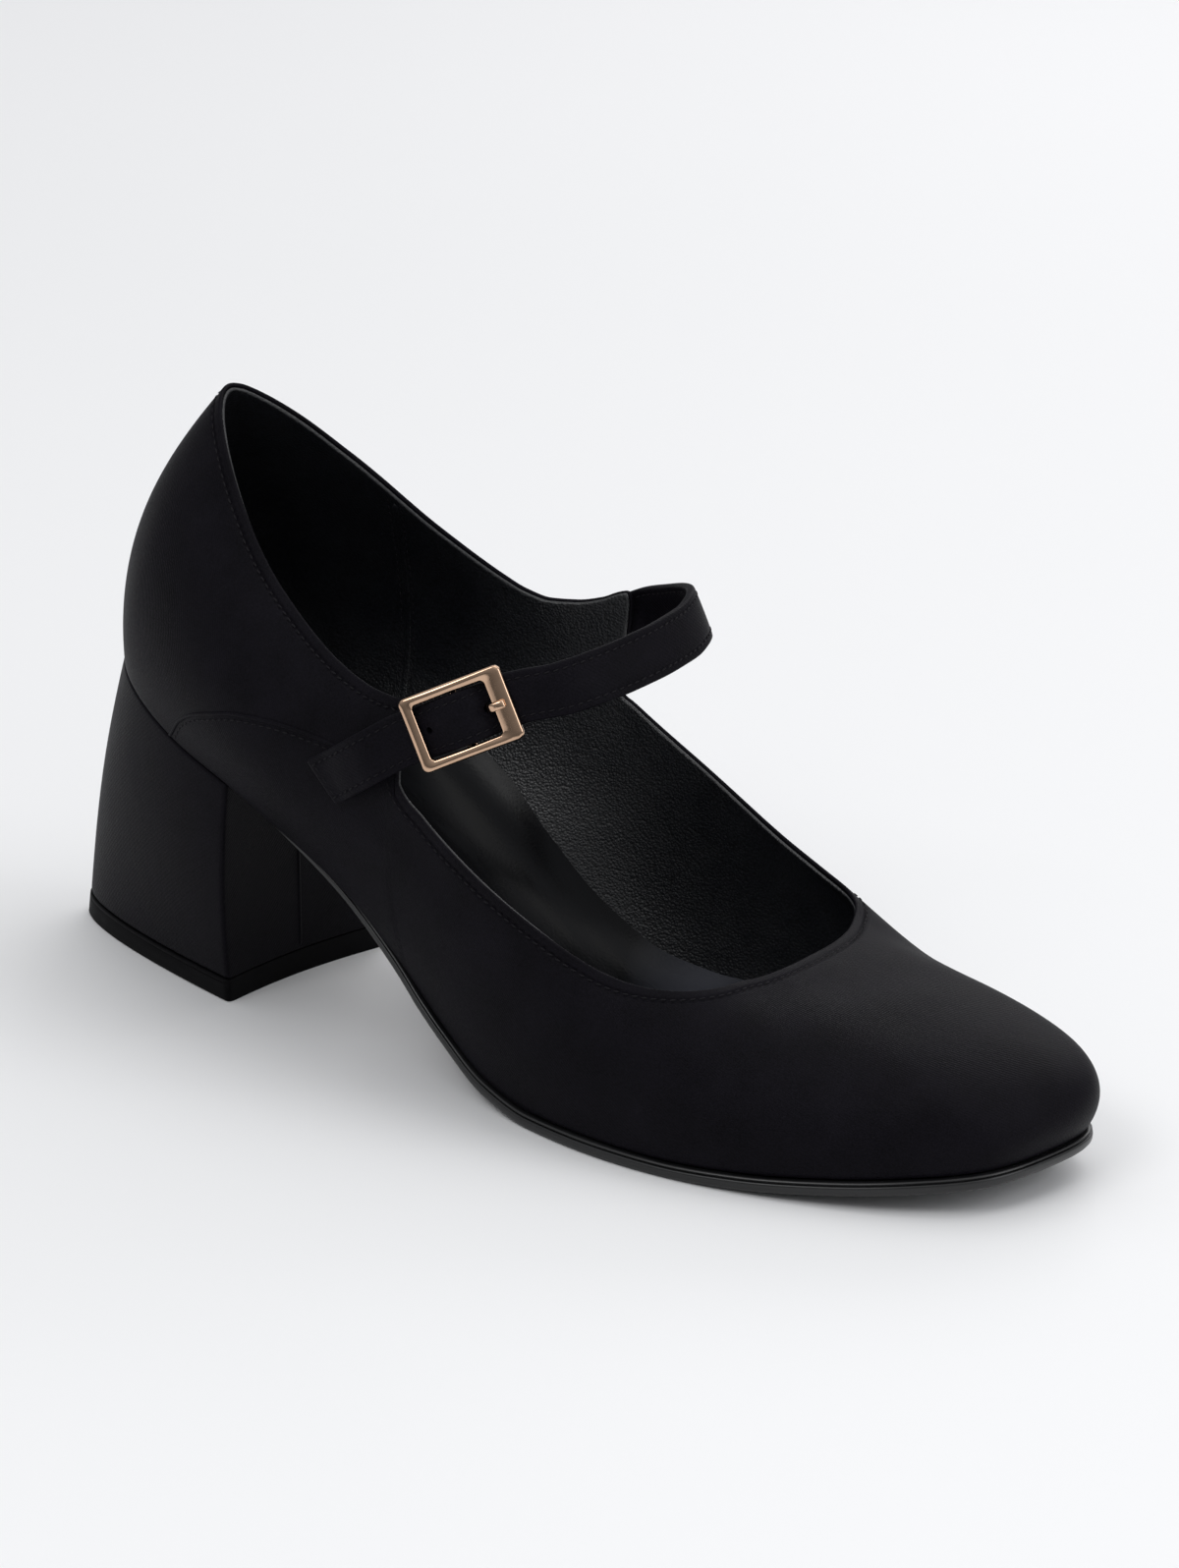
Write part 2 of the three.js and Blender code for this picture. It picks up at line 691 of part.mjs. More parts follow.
function makeFrame() {
  const bevel = 0.35;
  const inX = FRAME_LENGTH / 2 - bevel;
  const inY = FRAME_WIDTH / 2 - bevel;
  const shape = roundedRectangle(-inX, inX, -inY, inY, FRAME_CORNER);
  const hole = roundedRectangle(
    -FRAME_LENGTH / 2 + REAR_BAR - bevel,
    FRAME_LENGTH / 2 - ENTRY_BAR + bevel,
    -FRAME_WIDTH / 2 + SIDE_BAR - bevel,
    FRAME_WIDTH / 2 - SIDE_BAR + bevel,
    WINDOW_CORNER,
  );
  shape.holes.push(hole);
  const geometry = new THREE.ExtrudeGeometry(shape, {
    depth: FRAME_THICKNESS - 2 * bevel,
    bevelThickness: bevel,
    bevelSize: bevel,
    bevelSegments: 1,
    curveSegments: 3,
  });
  geometry.translate(0, 0, -FRAME_THICKNESS / 2 + bevel);
  const sideways = new THREE.Vector3().crossVectors(OFF_BUCKLE, ALONG_BUCKLE);
  const turn = new THREE.Matrix4().makeBasis(ALONG_BUCKLE, sideways, OFF_BUCKLE);
  geometry.applyMatrix4(turn.setPosition(BUCKLE_CENTRE));
  const bar = disc(BAR_RADIUS);
  const window = FRAME_WIDTH - 2 * SIDE_BAR - bevel;
  const lugTop = -bevel / 2;
  const lugFloor = -BAR_DROP - BAR_RADIUS;
  const lug = rectangle(-LUG_LENGTH / 2, LUG_LENGTH / 2, lugFloor, lugTop);
  const between = rectangle(-LUG_LENGTH, LUG_LENGTH, lugFloor - BAR_RADIUS, FRAME_THICKNESS);
  const lugs = acrossBuckle(lug, FRAME_WIDTH - 3 * bevel).subtract(acrossBuckle(between, window));
  return fromGeometry(geometry).add(lugs).add(acrossBuckle(bar, FRAME_WIDTH - SIDE_BAR));
}

// The prong turns on the centre bar, comes up through the strap and rests on the entry bar.
function makeProng() {
  const rest = FRAME_THICKNESS / 2 + 0.15;
  const eye = BAR_RADIUS + GAP;
  const outer = eye + PRONG_EYE_WALL;
  const shape = new THREE.Shape();
  shape.absarc(0, -BAR_DROP, outer, Math.PI * 0.5, Math.PI * 2, false);
  shape.lineTo(PRONG_RISE - 3, -BAR_DROP + 0.2);
  shape.lineTo(PRONG_RISE, rest);
  shape.lineTo(PRONG_TIP, rest);
  shape.lineTo(PRONG_TIP + 0.2, rest + PRONG_THICKNESS * 0.6);
  shape.lineTo(PRONG_TIP - 0.5, rest + PRONG_THICKNESS);
  shape.lineTo(PRONG_RISE - 0.9, rest + PRONG_THICKNESS);
  shape.lineTo(PRONG_RISE - 3.5, -BAR_DROP + outer);
  shape.closePath();
  shape.holes.push(new THREE.Path().absarc(0, -BAR_DROP, eye, 0, Math.PI * 2, true));
  return acrossBuckle(shape, PRONG_WIDTH);
}

// Room for the prong where it comes up through the strap.
function prongSlot() {
  const reach = BAR_DROP + 2 * STRAP_THICKNESS;
  return acrossBuckle(rectangle(PRONG_RISE - 4.4, PRONG_RISE - 0.1, -reach, reach), PRONG_WIDTH + 2 * GAP);
}

// The tab is folded round the centre bar and sewn to the outside of the lateral ear.
function makeTab() {
  const inner = BAR_RADIUS + GAP;
  const outer = inner + TAB_THICKNESS;
  const floor = -BAR_DROP - outer;
  const lie = laid(TAB_LIE, -1, TAB_WIDTH, TAB_THICKNESS);
  const run = [-8, -5, -2, 0].map((along) => atBuckle([along, floor + TAB_THICKNESS / 2]));
  const path = new THREE.SplineCurve([...lie, ...run]).getSpacedPoints(16);
  const loop = acrossBuckle(disc(outer), TAB_WIDTH);
  const eye = acrossBuckle(disc(inner), TAB_WIDTH + 2);
  const prongWay = rectangle(-outer - 1, outer + 1, floor - 1, outer);
  const notch = acrossBuckle(prongWay, PRONG_WIDTH + 2 * GAP);
  return band(path, TAB_WIDTH, TAB_THICKNESS).add(loop).subtract(eye).subtract(notch);
}

function makeStrap() {
  const under = -FRAME_THICKNESS / 2 - GAP - STRAP_THICKNESS / 2;
  const over = -BAR_DROP + BAR_RADIUS + 2 * GAP + TAB_THICKNESS + STRAP_THICKNESS / 2 + 0.1;
  const weave = [[-11, under - 0.2], [-7.8, under], [0, over], [6.4, under], [11.5, under - 0.1]];
  const stations = [
    ...laid(STRAP_LIE, -1, STRAP_WIDTH, STRAP_THICKNESS),
    ...weave.map(atBuckle),
    ...STRAP_ARCH.map(([across, forward]) => new THREE.Vector2(across, forward)),
    ...laid(STRAP_HOLD, 1, STRAP_WIDTH, STRAP_THICKNESS),
  ];
  const path = new THREE.SplineCurve(stations).getSpacedPoints(84);
  return band(path, STRAP_WIDTH, STRAP_THICKNESS, STRAP_SAG).subtract(prongSlot());
}

// ---------------------------------------------------------------- the shoe
const root = new THREE.Group();
function place(name, solid, color, roughness, metalness = 0) {
  const material = new THREE.MeshStandardMaterial({ color, roughness, metalness });
  const mesh = new THREE.Mesh(toGeometry(solid), material);
  mesh.name = name;
  root.add(mesh);
}

place("upper", makeUpper(), 0x17161a, 0.45);
place("outsole", makeOutsole(), 0x121214, 0.35);
place("insole", makeInsole(), 0x0e0f12, 0.5);
place("heel", makeHeel(), 0x17161a, 0.45);
place("top_lift", makeTopLift(), 0x0d0d0f, 0.55);
place("strap", makeStrap(), 0x17161a, 0.45);
place("buckle_frame", makeFrame(), 0xd9b79c, 0.2, 1);
place("buckle_prong", makeProng(), 0xd9b79c, 0.2, 1);
place("buckle_tab", makeTab(), 0x141317, 0.5);

// The origin goes to the middle of the footprint, on the ground.
const box = new THREE.Box3().setFromObject(root);
root.position.set(-(box.min.x + box.max.x) / 2, -(box.min.y + box.max.y) / 2, -box.min.z);

export default root;
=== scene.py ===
"""Satin mary jane pump: the looks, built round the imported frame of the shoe.

The last that the upper was pulled over is described once, by half sections in millimetres in the
shoemaker's own coordinates: X from the heel towards the toe, Y towards the inner side, Z up. Every
soft piece is laid on that surface and only then moved into the frame, in metres.
"""
import math

import bpy
import numpy as np
from bpy.props import FloatProperty, FloatVectorProperty, IntProperty, PointerProperty
from mathutils import Matrix, Vector


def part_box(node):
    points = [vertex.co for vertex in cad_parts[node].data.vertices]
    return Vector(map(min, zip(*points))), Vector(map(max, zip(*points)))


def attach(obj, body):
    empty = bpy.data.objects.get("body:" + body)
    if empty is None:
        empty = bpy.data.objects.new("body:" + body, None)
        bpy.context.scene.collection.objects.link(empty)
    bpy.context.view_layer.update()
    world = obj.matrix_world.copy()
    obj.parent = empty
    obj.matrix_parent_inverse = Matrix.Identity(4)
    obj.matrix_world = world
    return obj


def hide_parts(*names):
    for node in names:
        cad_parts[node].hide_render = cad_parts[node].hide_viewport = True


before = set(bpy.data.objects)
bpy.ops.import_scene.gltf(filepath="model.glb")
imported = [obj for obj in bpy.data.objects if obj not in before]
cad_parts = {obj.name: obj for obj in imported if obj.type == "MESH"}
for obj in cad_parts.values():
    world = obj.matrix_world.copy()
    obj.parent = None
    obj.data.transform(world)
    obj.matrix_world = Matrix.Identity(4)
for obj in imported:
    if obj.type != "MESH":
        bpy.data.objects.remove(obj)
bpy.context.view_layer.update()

bl_info = {
    "name": "Satin mary jane pump",
    "version": (1, 0, 0),
    "blender": (4, 5, 0),
    "location": "3D View > Sidebar > Shoe",
    "description": "Builds a satin pump with a block heel and a buckled strap on its packed frame",
    "category": "Object",
}

MM = 0.001

# ------------------------------------------------------------------ tables, millimetres but for the lights
SEAT = (
    # x, height of the upper's lower edge
    (-10, 68.5), (4, 63.4), (20, 57.8), (34, 52.9), (48, 48.4), (60, 42.9), (74, 35.0), (90, 23.4),
    (106, 12.2), (120, 5.6), (133, 3.5), (164, 3.5), (181, 4.2), (199, 6.0), (215, 8.2), (235, 11.0),
)
SECTIONS = (
    # footX, footY, belly, rise, full, crown, topX, topY, topZ
    (4.1, 0, 5.5, 24, 0, 1.0, 24.6, 0, 121.2),
    (10, -13, 2.8, 23, 0, 1.0, 28.5, -8.2, 116.5),
    (28, -23.5, 5.0, 18, 1, 1.0, 42, -16, 100.5),
    (56, -27.5, 12.0, 18, 2, 1.0, 62, -23, 86.2),
    (86, -25.5, 11.0, 20, 3, 1.0, 87, -29.5, 78.8),
    (114, -31, 6.0, 20, 1.5, 1.0, 115, -35, 62),
    (144, -38, 2.0, 12, 1.5, 1.0, 144, -35, 37.6),
    (174, -36.5, 2.0, 12, 4, 4.0, 160.5, -28, 35.4),
    (200, -28, 2.5, 13, 4, 2.5, 168.3, -18, 35.2),
    (213.5, -20.5, 3.5, 14, 4, 1.0, 170.8, -9.5, 35.3),
    (222.8, -11.5, 6.0, 15, 4, -1.0, 171.3, -2.5, 35.5),
    (226.6, 2, 9.5, 16, 5, -2.0, 171.2, 3, 35.6),
    (227.2, 15, 10, 17, 6, -3.0, 171, 9.5, 35.7),
    (220.5, 25.5, 7.0, 17, 6, -3.0, 169.8, 17, 35.9),
    (200, 31.5, 4.0, 16, 6, -2.0, 166.6, 25, 36),
    (174, 36, 2.5, 15, 4, 1.0, 159.3, 33.8, 37.4),
    (144, 36.5, 2.5, 16, 1, 1.0, 142, 36.1, 43.9),
    (114, 28.5, 8.0, 22, 0, 1.0, 115, 38, 66),
    (86, 20.0, 14.0, 24, 0, 1.0, 89, 34.5, 81.4),
    (56, 22.5, 12.0, 18, 0, 1.0, 66, 22.5, 92),
    (28, 23.0, 7.0, 18, 1, 1.0, 43.5, 13.5, 107.5),
    (10, 13.0, 5.5, 23, 0, 1.0, 29.3, 6.5, 117.6),
)
LATERAL_TOPLINE = (
    # section, height of the topline
    (2.8, 88.3), (3, 86), (3.2, 83.9), (3.4, 81.95), (3.6, 80.15), (3.8, 78.65), (4, 77.6), (4.2, 77.3),
    (4.28, 77.8), (4.36, 61.2), (4.6, 56.3), (4.85, 52), (5.2, 46.6), (5.65, 40.6), (5.9, 37.7),
    (6.15, 35.6), (6.4, 34.5), (6.65, 34.15), (6.9, 34.3), (7.15, 34.6), (7.4, 34.85), (7.65, 35),
    (7.9, 35.1), (8.2, 35.13),
)
MEDIAL_TOPLINE = (
    # section, height of the topline
    (14.6, 36.75), (14.8, 37.2), (15, 37.75), (15.2, 38.45), (15.4, 39.3), (15.6, 40.4), (15.8, 41.6),
    (16, 43.1), (16.2, 45.1), (16.4, 47.6), (16.6, 50.4), (16.8, 53.3), (17, 56.2), (17.2, 59.2),
    (17.4, 62.4), (17.52, 64.4), (17.59, 83.6), (17.63, 85.2), (17.7, 84.6), (17.8, 83.2), (18, 81.8),
    (18.2, 81.5), (18.4, 82.9), (18.6, 85.7), (18.8, 89.1), (19, 92.8), (19.2, 96.5), (19.4, 100.3),
    (19.6, 103.9), (19.8, 107), (20, 109.6), (20.2, 112), (20.4, 114.1), (20.6, 115.8), (20.8, 117.2),
    (21, 118.35), (21.3, 119.7), (21.6, 120.65), (21.9, 121.14),
)
QUARTER_SEAM = (
    # x, height of the seam between vamp and quarter
    (30, 52.4), (32.5, 54.6), (36, 58.4), (41, 61.6), (47.9, 64.1), (56, 66.2), (65.5, 66.8), (75, 66.2),
    (84, 64.6), (94, 61.8),
)
SOCK_CUP = (
    # x, how far the sock's medial edge curls up the wall
    (0, 1.2), (50, 4.0), (66, 9.0), (81, 10.5), (92, 8.4), (105, 6.0), (117, 5.0), (128, 5.2), (138, 5.4),
    (160, 4.6), (200, 2.0), (230, 1.0),
)
CREASES = (
    # x, y, z, direction x, y, z, half length, half width, depth (a ridge is negative)
    (181, -4, 36, 0.35, 1, 0, 26, 7, 0.35),
    (193, 6, 34, 0.2, 1, -0.05, 24, 5, -0.22),
    (134, -40, 22, 1, -0.05, -0.35, 22, 6, 0.30),
    (112, -38, 34, 0.8, -0.1, -0.6, 20, 5, -0.25),
    (96, -37, 52, 0.9, 0, -0.45, 16, 4, 0.32),
    (70, -38, 58, 1, 0, -0.25, 22, 6, 0.30),
    (44, -27, 90, 0.7, -0.3, -0.65, 22, 7, 0.25),
    (18, -14, 84, 0.1, -0.3, 1, 20, 6, -0.25),
    (210, -22, 20, 0.6, 0.7, -0.1, 12, 4, -0.25),
    (216, 28, 20, 0.6, -0.7, -0.1, 12, 4, -0.22),
    (130, 38, 24, 1, 0.05, -0.3, 22, 6, 0.30),
    (92, 36, 54, 0.9, 0, -0.4, 18, 5, 0.28),
    (46, 28, 84, 0.7, 0.3, -0.6, 22, 7, 0.24),
)
STRAP_ARCH = (
    # across (medial plus), forward: the strap's middle over the instep, in its own plane
    (-13.0, 148.4), (2.0, 153.9), (16.0, 154.4), (27.5, 151.2), (35.5, 143.0), (42.0, 128.6),
)
STRAP_LIE = (
    # forward, clear of the quarter, down: the free end
    (95.4, 0.35, 3.2), (100, 0.55, 2.6), (106.5, 1.7, 1.75), (112.5, 1.8, 0.85),
)
STRAP_HOLD = (
    # forward, clear of the quarter, down: the sewn end
    (122, 0.6, 0), (114, 0.4, 0),
)
STRAP_SAG = (
    # share of the strap's length, how far it is drawn down out of its plane
    (0, 3.2), (0.05, 2.3), (0.1, 1.25), (0.14, 0.4), (0.165, 0), (0.33, 0), (0.36, 0.6), (0.4, 1.7),
    (0.45, 2.2), (0.5, 2.45), (0.55, 2.45), (0.6, 2.2), (0.64, 1.9), (0.68, 1.0), (0.72, 0.1),
    (0.77, -0.7), (0.83, -1.2), (0.9, -1.8), (1, -1.8),
)
TAB_LIE = (
    # forward, clear of the quarter, down
    (107, 0.3, 0), (111, 0.3, 0), (115, 0.3, 0),
)
TURN_STEPS = (
    # from section, to section, steps round the shoe
    (0, 4, 110), (4, 4.24, 8), (4.24, 4.4, 26), (4.4, 6, 44), (6, 9, 60), (9, 13, 104), (13, 16, 60),
    (16, 17.5, 40), (17.5, 17.64, 26), (17.64, 18, 12), (18, 22, 110),
)
SOLE_EDGE = (
    # inset, share of the sole's thickness, counted down from its top
    (2.5, 0.0), (1.0, 0.0), (0.55, 0.03), (0.25, 0.09), (0.18, 0.15), (0.3, 0.21), (0.62, 0.245),
    (0.62, 0.275), (0.2, 0.31), (0.04, 0.37), (0.0, 0.5), (0.03, 0.7), (0.16, 0.84), (0.42, 0.94),
    (0.85, 0.99), (1.4, 1.0),
)
LIFT_EDGE = (
    # height, outset
    (0.0, -1.2), (0.0, -0.55), (0.12, -0.2), (0.4, 0.02), (0.9, 0.0), (2.4, 0.0), (3.9, 0.0),
    (4.05, -0.16), (4.2, -0.16), (4.32, 0.0), (4.8, -0.02), (4.95, -0.15), (5.0, -0.45), (5.0, -1.2),
)
COVER_TUCK = (
    # share of the heel's height from its top and from its bottom, inset
    (0.0, 0.5), (0.003, 0.18), (0.008, 0.04),
)
QUARTER_SEAM_SPANS = {
    # section at the seam's end by the heel, section at its end by the strap
    "lateral": (2.12, 4.24), "medial": (19.88, 17.72),
}
SEAM_STITCH_SPANS = (
    # the same for the seam's stitches, which stop short of its ends
    (2.2, 4.2), (19.8, 17.8),
)
LINING_SEAM = (
    # section, share of the upper's height
    (19.12, 0.12), (19.46, 0.97),
)
LIGHTS = (
    # name, place, target and size in metres, watts, colour
    ("overhead_softbox", (0.1, 0.4, 1.6), (0.02, 0.0, 0.0), (1.6, 1.2), 6.3, (1.0, 0.99, 0.97)),
    ("toe_softbox", (1.15, 0.3, 0.65), (0.05, 0.0, 0.03), (0.6, 0.8), 4.0, (0.97, 0.98, 1.0)),
    ("back_softbox", (-0.3, 1.25, 0.62), (0.05, 0.0, 0.03), (0.9, 0.45), 2.8, (1.0, 0.99, 1.0)),
    ("side_softbox", (0.0, -0.95, 0.95), (0.0, 0.0, 0.04), (0.6, 0.4), 3.6, (1.0, 1.0, 1.0)),
)
PUNCHED_HOLE = -6.4  # the spare hole, along the strap from the buckle's middle

# ------------------------------------------------------------------ driving sizes, millimetres
GAP = 0.3
SEAM_GAP = 0.45
WALL = 1.8
LAYER_GAP = 0.06  # between the satin and the lining
FOLD_HALF_WIDTH = 0.42
FOLD_HALF_HEIGHT = 0.34
FOLD_SINK = 0.04  # of a fold's middle under the satin's surface
SOLE_THICKNESS = 3.05
SHANK_THICKNESS = 1.9
SOLE_LIP = 1.0
WAIST_INSET = 4.5
WAIST_LENGTH = 50.0
INSOLE_THICKNESS = 2.2
SOCK_THICKNESS = 1.2
SOCK_LATERAL_CURL = 1.2  # the most that the sock's lateral edge curls up the wall
SOCK_DISH = 0.5
SOCK_CURL_POWER = 8  # the higher, the closer to its edges the sock starts to curl
LIFT_HEIGHT = 5.0
LIFT_LIP = 0.25
LIFT_CORNER = 1.4
BREAST_X = 48.5
BREAST_SKEW = 0.07
BREAST_HOLLOW = 1.6
HEEL_BACK_X = -7.1
HEEL_HALF_WIDTH = 23.8
HEEL_ROUNDNESS = 1.8
HEEL_SWELL = 1.7
HEEL_EDGE = 1.1  # radius of the covered heel's front corners
COVER_SEAM_SINK = 0.1
COVER_SEAM_HALF_WIDTH = 0.5
COVER_SEAM_HALF_HEIGHT = 0.3
FRAME_LENGTH = 21.2
FRAME_WIDTH = 15.3
FRAME_THICKNESS = 1.8
ENTRY_BAR = 4.0
SIDE_BAR = 2.0
REAR_BAR = 2.4
FRAME_CORNER = 1.35
WINDOW_CORNER = 0.9
BAR_DROP = 2.6
BAR_RADIUS = 0.7
BAR_REACH = 0.9  # how far the centre bar runs into each lug
LUG_LENGTH = 2.2
PRONG_WIDTH = 1.7
PRONG_THICKNESS = 1.1
PRONG_EYE_WALL = 0.6
PRONG_EYE_TURN = (20, -290, -10)  # degrees round the centre bar: start, end (left out), step
PRONG_HOLE = 5.75  # where the prong comes up through the strap
PRONG_HOLE_RADIUS = 1.0
PRONG_TIP = 9.2
SPARE_RADIUS = 0.7
PUNCH_REACH = 4.0  # of a punch to each side of the strap's middle
STRAP_CORNER = 0.9
STRAP_CROWN = 0.10
STRAP_DIP = 0.13
STRAP_DIP_WIDTH = 0.45
SKIVE_LENGTH = 9.0
SKIVED_SHARE = 0.38  # of the strap's thickness, left at its sewn end
SEWN_ROW = 1.4  # from the strap's sewn end to the first stitches across it
SEWN_BOX = 6.0  # from those stitches to the next row across
TAB_WIDTH = 7.2
TAB_THICKNESS = 0.6
BUCKLE_MIDDLE = np.array([108, -30.1, 77.0])
BUCKLE_TURN = math.radians(32)
TOPLINE_GROOVE = 0.34  # how deep the topline's stitches pull the satin in
GROOVE_WIDTH = 0.5
STRAP_SLANT = 1.6  # half of how much shorter the lower edge of the strap's free end is
SLANT_LENGTH = 16.0
STRAP_THREAD_SINK = 0.05  # of the strap's stitches under its faces
SOCK_PAINTED_SHEEN = np.array([129.0, 31.0, 11.0])  # middle of the sock's lighter place beside the ball, a painted sheen where its curled edge catches the light
SEAM_RIDGE_HALF_WIDTH = 0.7
SEAM_RIDGE_HALF_HEIGHT = 0.06
SEAM_ROW = 1.5  # from the lining seam to the stitches on each side of it
THREAD_LIFT = 0.02  # of a thread's middle off the leather or satin it lies on

# ------------------------------------------------------------------ how finely the shapes are drawn
BISECTIONS = 30
SATIN_LEVELS = 46
LINING_LEVELS = 30
SOCK_ROWS = 150
SOCK_POINTS = 29
HEEL_BACK_POINTS = 150
HEEL_BREAST_POINTS = 56
HEEL_CORNER_POINTS = 6

TURNS = len(SECTIONS)
PREFIX = "pump"


# ------------------------------------------------------------------ sizes and finishes a user may change
def size_property(name, description, millimetres):
    return FloatProperty(name=name, description=description, default=millimetres * MM,
                         min=0.05 * MM, max=20.0 * MM, unit="LENGTH")


def colour_property(name, description, colour):
    return FloatVectorProperty(name=name, description=description, default=colour, size=3,
                               min=0.0, max=1.0, subtype="COLOR")


class PUMP_PG_sizes(bpy.types.PropertyGroup):
    """Sizes of the sewn and folded details"""
    satin: size_property("Satin thickness", "Satin with its backing, as one layer", 0.85)
    lining_drop: size_property("Lining drop", "How far the lining ends below the folded edge", 0.35)
    strap_width: size_property("Strap width", "Across the finished strap", 10.6)
    strap_thickness: size_property("Strap thickness", "Through the finished strap", 2.0)
    stitch_pitch: size_property("Stitch pitch", "From one stitch to the next", 1.9)
    stitch_length: size_property("Stitch length", "Of the thread that shows", 1.35)
    stitch_width: size_property("Stitch width", "Of the thread that shows", 0.34)
    topline_inset: size_property("Topline stitch inset", "From the folded edge to its stitches", 2.0)
    strap_inset: size_property("Strap stitch inset", "From the strap's edge to its stitches", 1.5)
    seam_inset: size_property("Seam stitch inset", "From the quarter seam to its stitches", 1.2)
    seed: IntProperty(name="Stitch seed", description="Seed of the small differences between stitches",
                      default=7, min=0)


class PUMP_PG_finish(bpy.types.PropertyGroup):
    """Colours of the finishes"""
    satin: colour_property("Satin", "Upper, strap and heel cover", (0.0045, 0.0040, 0.0058))
    satin_sheen: colour_property("Satin sheen", "Tint of the cloth's sheen", (0.62, 0.58, 0.70))
    lining: colour_property("Lining", "Grained leather inside the upper", (0.0040, 0.0045, 0.0062))
    sock: colour_property("Sock", "Smooth leather under the foot", (0.0022, 0.0023, 0.0029))
    sole: colour_property("Sole", "Sole unit and its edge", (0.0050, 0.0050, 0.0055))
    rubber: colour_property("Top lift", "Rubber under the heel", (0.0034, 0.0033, 0.0038))
    thread: colour_property("Thread", "Stitches", (0.0080, 0.0073, 0.0092))
    plating: colour_property("Plating", "Pale rose gold of the buckle", (0.60, 0.405, 0.28))
    floor: colour_property("Floor", "Pale studio floor", (0.86, 0.86, 0.865))


# ------------------------------------------------------------------ small maths
def along(table, x):
    """Smooth curve through a table's first two columns that never overshoots between rows."""
    rows = np.array(table, float)
    xs, ys = rows[:, 0], rows[:, 1]
    slope = np.diff(ys) / np.diff(xs)
    tangent = np.zeros(len(xs))
    tangent[0], tangent[-1] = slope[0], slope[-1]
    before, after = slope[:-1], slope[1:]
    total = np.where(before + after == 0, 1.0, before + after)
    tangent[1:-1] = np.where(before * after <= 0, 0.0, 2 * before * after / total)
    x = np.asarray(x, float)
    i = np.clip(np.searchsorted(xs, x) - 1, 0, len(xs) - 2)
    span = xs[i + 1] - xs[i]
    u = np.clip((x - xs[i]) / span, 0, 1)
    rise = u * u * (3 - 2 * u) * (ys[i + 1] - ys[i])
    lead = u * (1 - u) ** 2 * span * tangent[i]
    tail = u * u * (1 - u) * span * tangent[i + 1]
    return ys[i] + rise + lead - tail


def seat(x):
    return along(SEAT, x)


def unit(v):
    return v / np.maximum(np.linalg.norm(v, axis=-1, keepdims=True), 1e-12)


def mix(a, b, share):
    return a + (b - a) * share


def smooth(x):
    x = np.clip(x, 0, 1)
    return x * x * (3 - 2 * x)


def lengths(line):
    return np.concatenate([[0], np.cumsum(np.linalg.norm(np.diff(line, axis=0), axis=1))])


def at_lengths(line, at):
    """Points of a polyline at lengths from its start."""
    run = lengths(line)
    return np.stack([np.interp(at, run, line[:, k]) for k in range(line.shape[1])], 1)


def resample(line, count, start=0.0, end=0.0):
    """Evenly spaced points along a polyline, leaving out a length at each end."""
    return at_lengths(line, np.linspace(start, lengths(line)[-1] - end, count))


def catmull(points, per_span=40):
    """Uniform curve through the points."""
    points = np.asarray(points, float)
    padded = np.vstack([points[:1], points, points[-1:]])
    t = np.linspace(0, 1, per_span, endpoint=False)[:, None]
    spans = []
    for k in range(len(points) - 1):
        p0, p1, p2, p3 = padded[k:k + 4]
        v0, v1 = (p2 - p0) / 2, (p3 - p1) / 2
        cubic = (2 * p1 - 2 * p2 + v0 + v1) * t ** 3
        square = (3 * p2 - 3 * p1 - 2 * v0 - v1) * t ** 2
        spans.append(cubic + square + v0 * t + p1)
    return np.vstack(spans + [points[-1:]])


# ------------------------------------------------------------------ the last
def section_arcs():
    """Control points of the cubic arcs, one row for each section, joined round by a closed spline."""
    rows = np.array(SECTIONS, float)
    ahead, behind = np.roll(rows, -1, 0), np.roll(rows, 1, 0)
    out = unit(np.stack([ahead[:, 1] - behind[:, 1], behind[:, 0] - ahead[:, 0], np.zeros(TURNS)], 1))
    foot = np.stack([rows[:, 0], rows[:, 1], seat(rows[:, 0])], 1)
    low = foot + out * rows[:, 2:3]
    low[:, 2] = foot[:, 2] + rows[:, 3]
    top = rows[:, 6:9]
    high = (low + top) / 2 + out * rows[:, 4:5]
    high[:, 2] += rows[:, 5]
    spline = (4 * np.eye(TURNS) + np.roll(np.eye(TURNS), 1, 0) + np.roll(np.eye(TURNS), -1, 0)) / 6
    return [np.linalg.solve(spline, points) for points in (foot, low, high, top)]


ARCS = section_arcs()


def last_point(turn, share):
    """The last's surface: turn counts sections round the shoe, share runs up each arc."""
    turn, share = np.broadcast_arrays(np.asarray(turn, float), np.asarray(share, float))
    k = np.floor(turn).astype(int)
    u = turn - k
    v = 1 - u
    blend = [v ** 3 / 6, (3 * u ** 3 - 6 * u * u + 4) / 6, None, u ** 3 / 6]
    blend[2] = 1 - blend[0] - blend[1] - blend[3]
    s, r = share, 1 - share
    bernstein = [r ** 3, 3 * r * r * s, 3 * r * s * s, s ** 3]
    point = np.zeros(turn.shape + (3,))
    for control, rise in zip(ARCS, bernstein):
        for i, weight in enumerate(blend):
            point += (weight * rise)[..., None] * control[(k + i - 1) % TURNS]
    point[..., 2] = np.where(share == 0, seat(point[..., 0]), point[..., 2])
    return point


def skin_normal(turn, share):
    """Outward direction of the last's surface."""
    step = 0.02
    low = np.clip(share, step, 1 - step)
    around = last_point(turn + step, low) - last_point(turn - step, low)
    up = last_point(turn, low + step) - last_point(turn, low - step)
    return unit(np.cross(around, up))


def share_where(turn, height, low=0.0, high=1.3):
    """Share at which the surface reaches a height, given as a number or as a function of the point."""
    turn = np.asarray(turn, float)
    a, b = np.full(turn.shape, low), np.full(turn.shape, high)
    for _ in range(BISECTIONS):
        mid = (a + b) / 2
        point = last_point(turn, mid)
        goal = height(point) if callable(height) else height
        below = point[..., 2] < goal
        a, b = np.where(below, mid, a), np.where(below, b, mid)
    return b


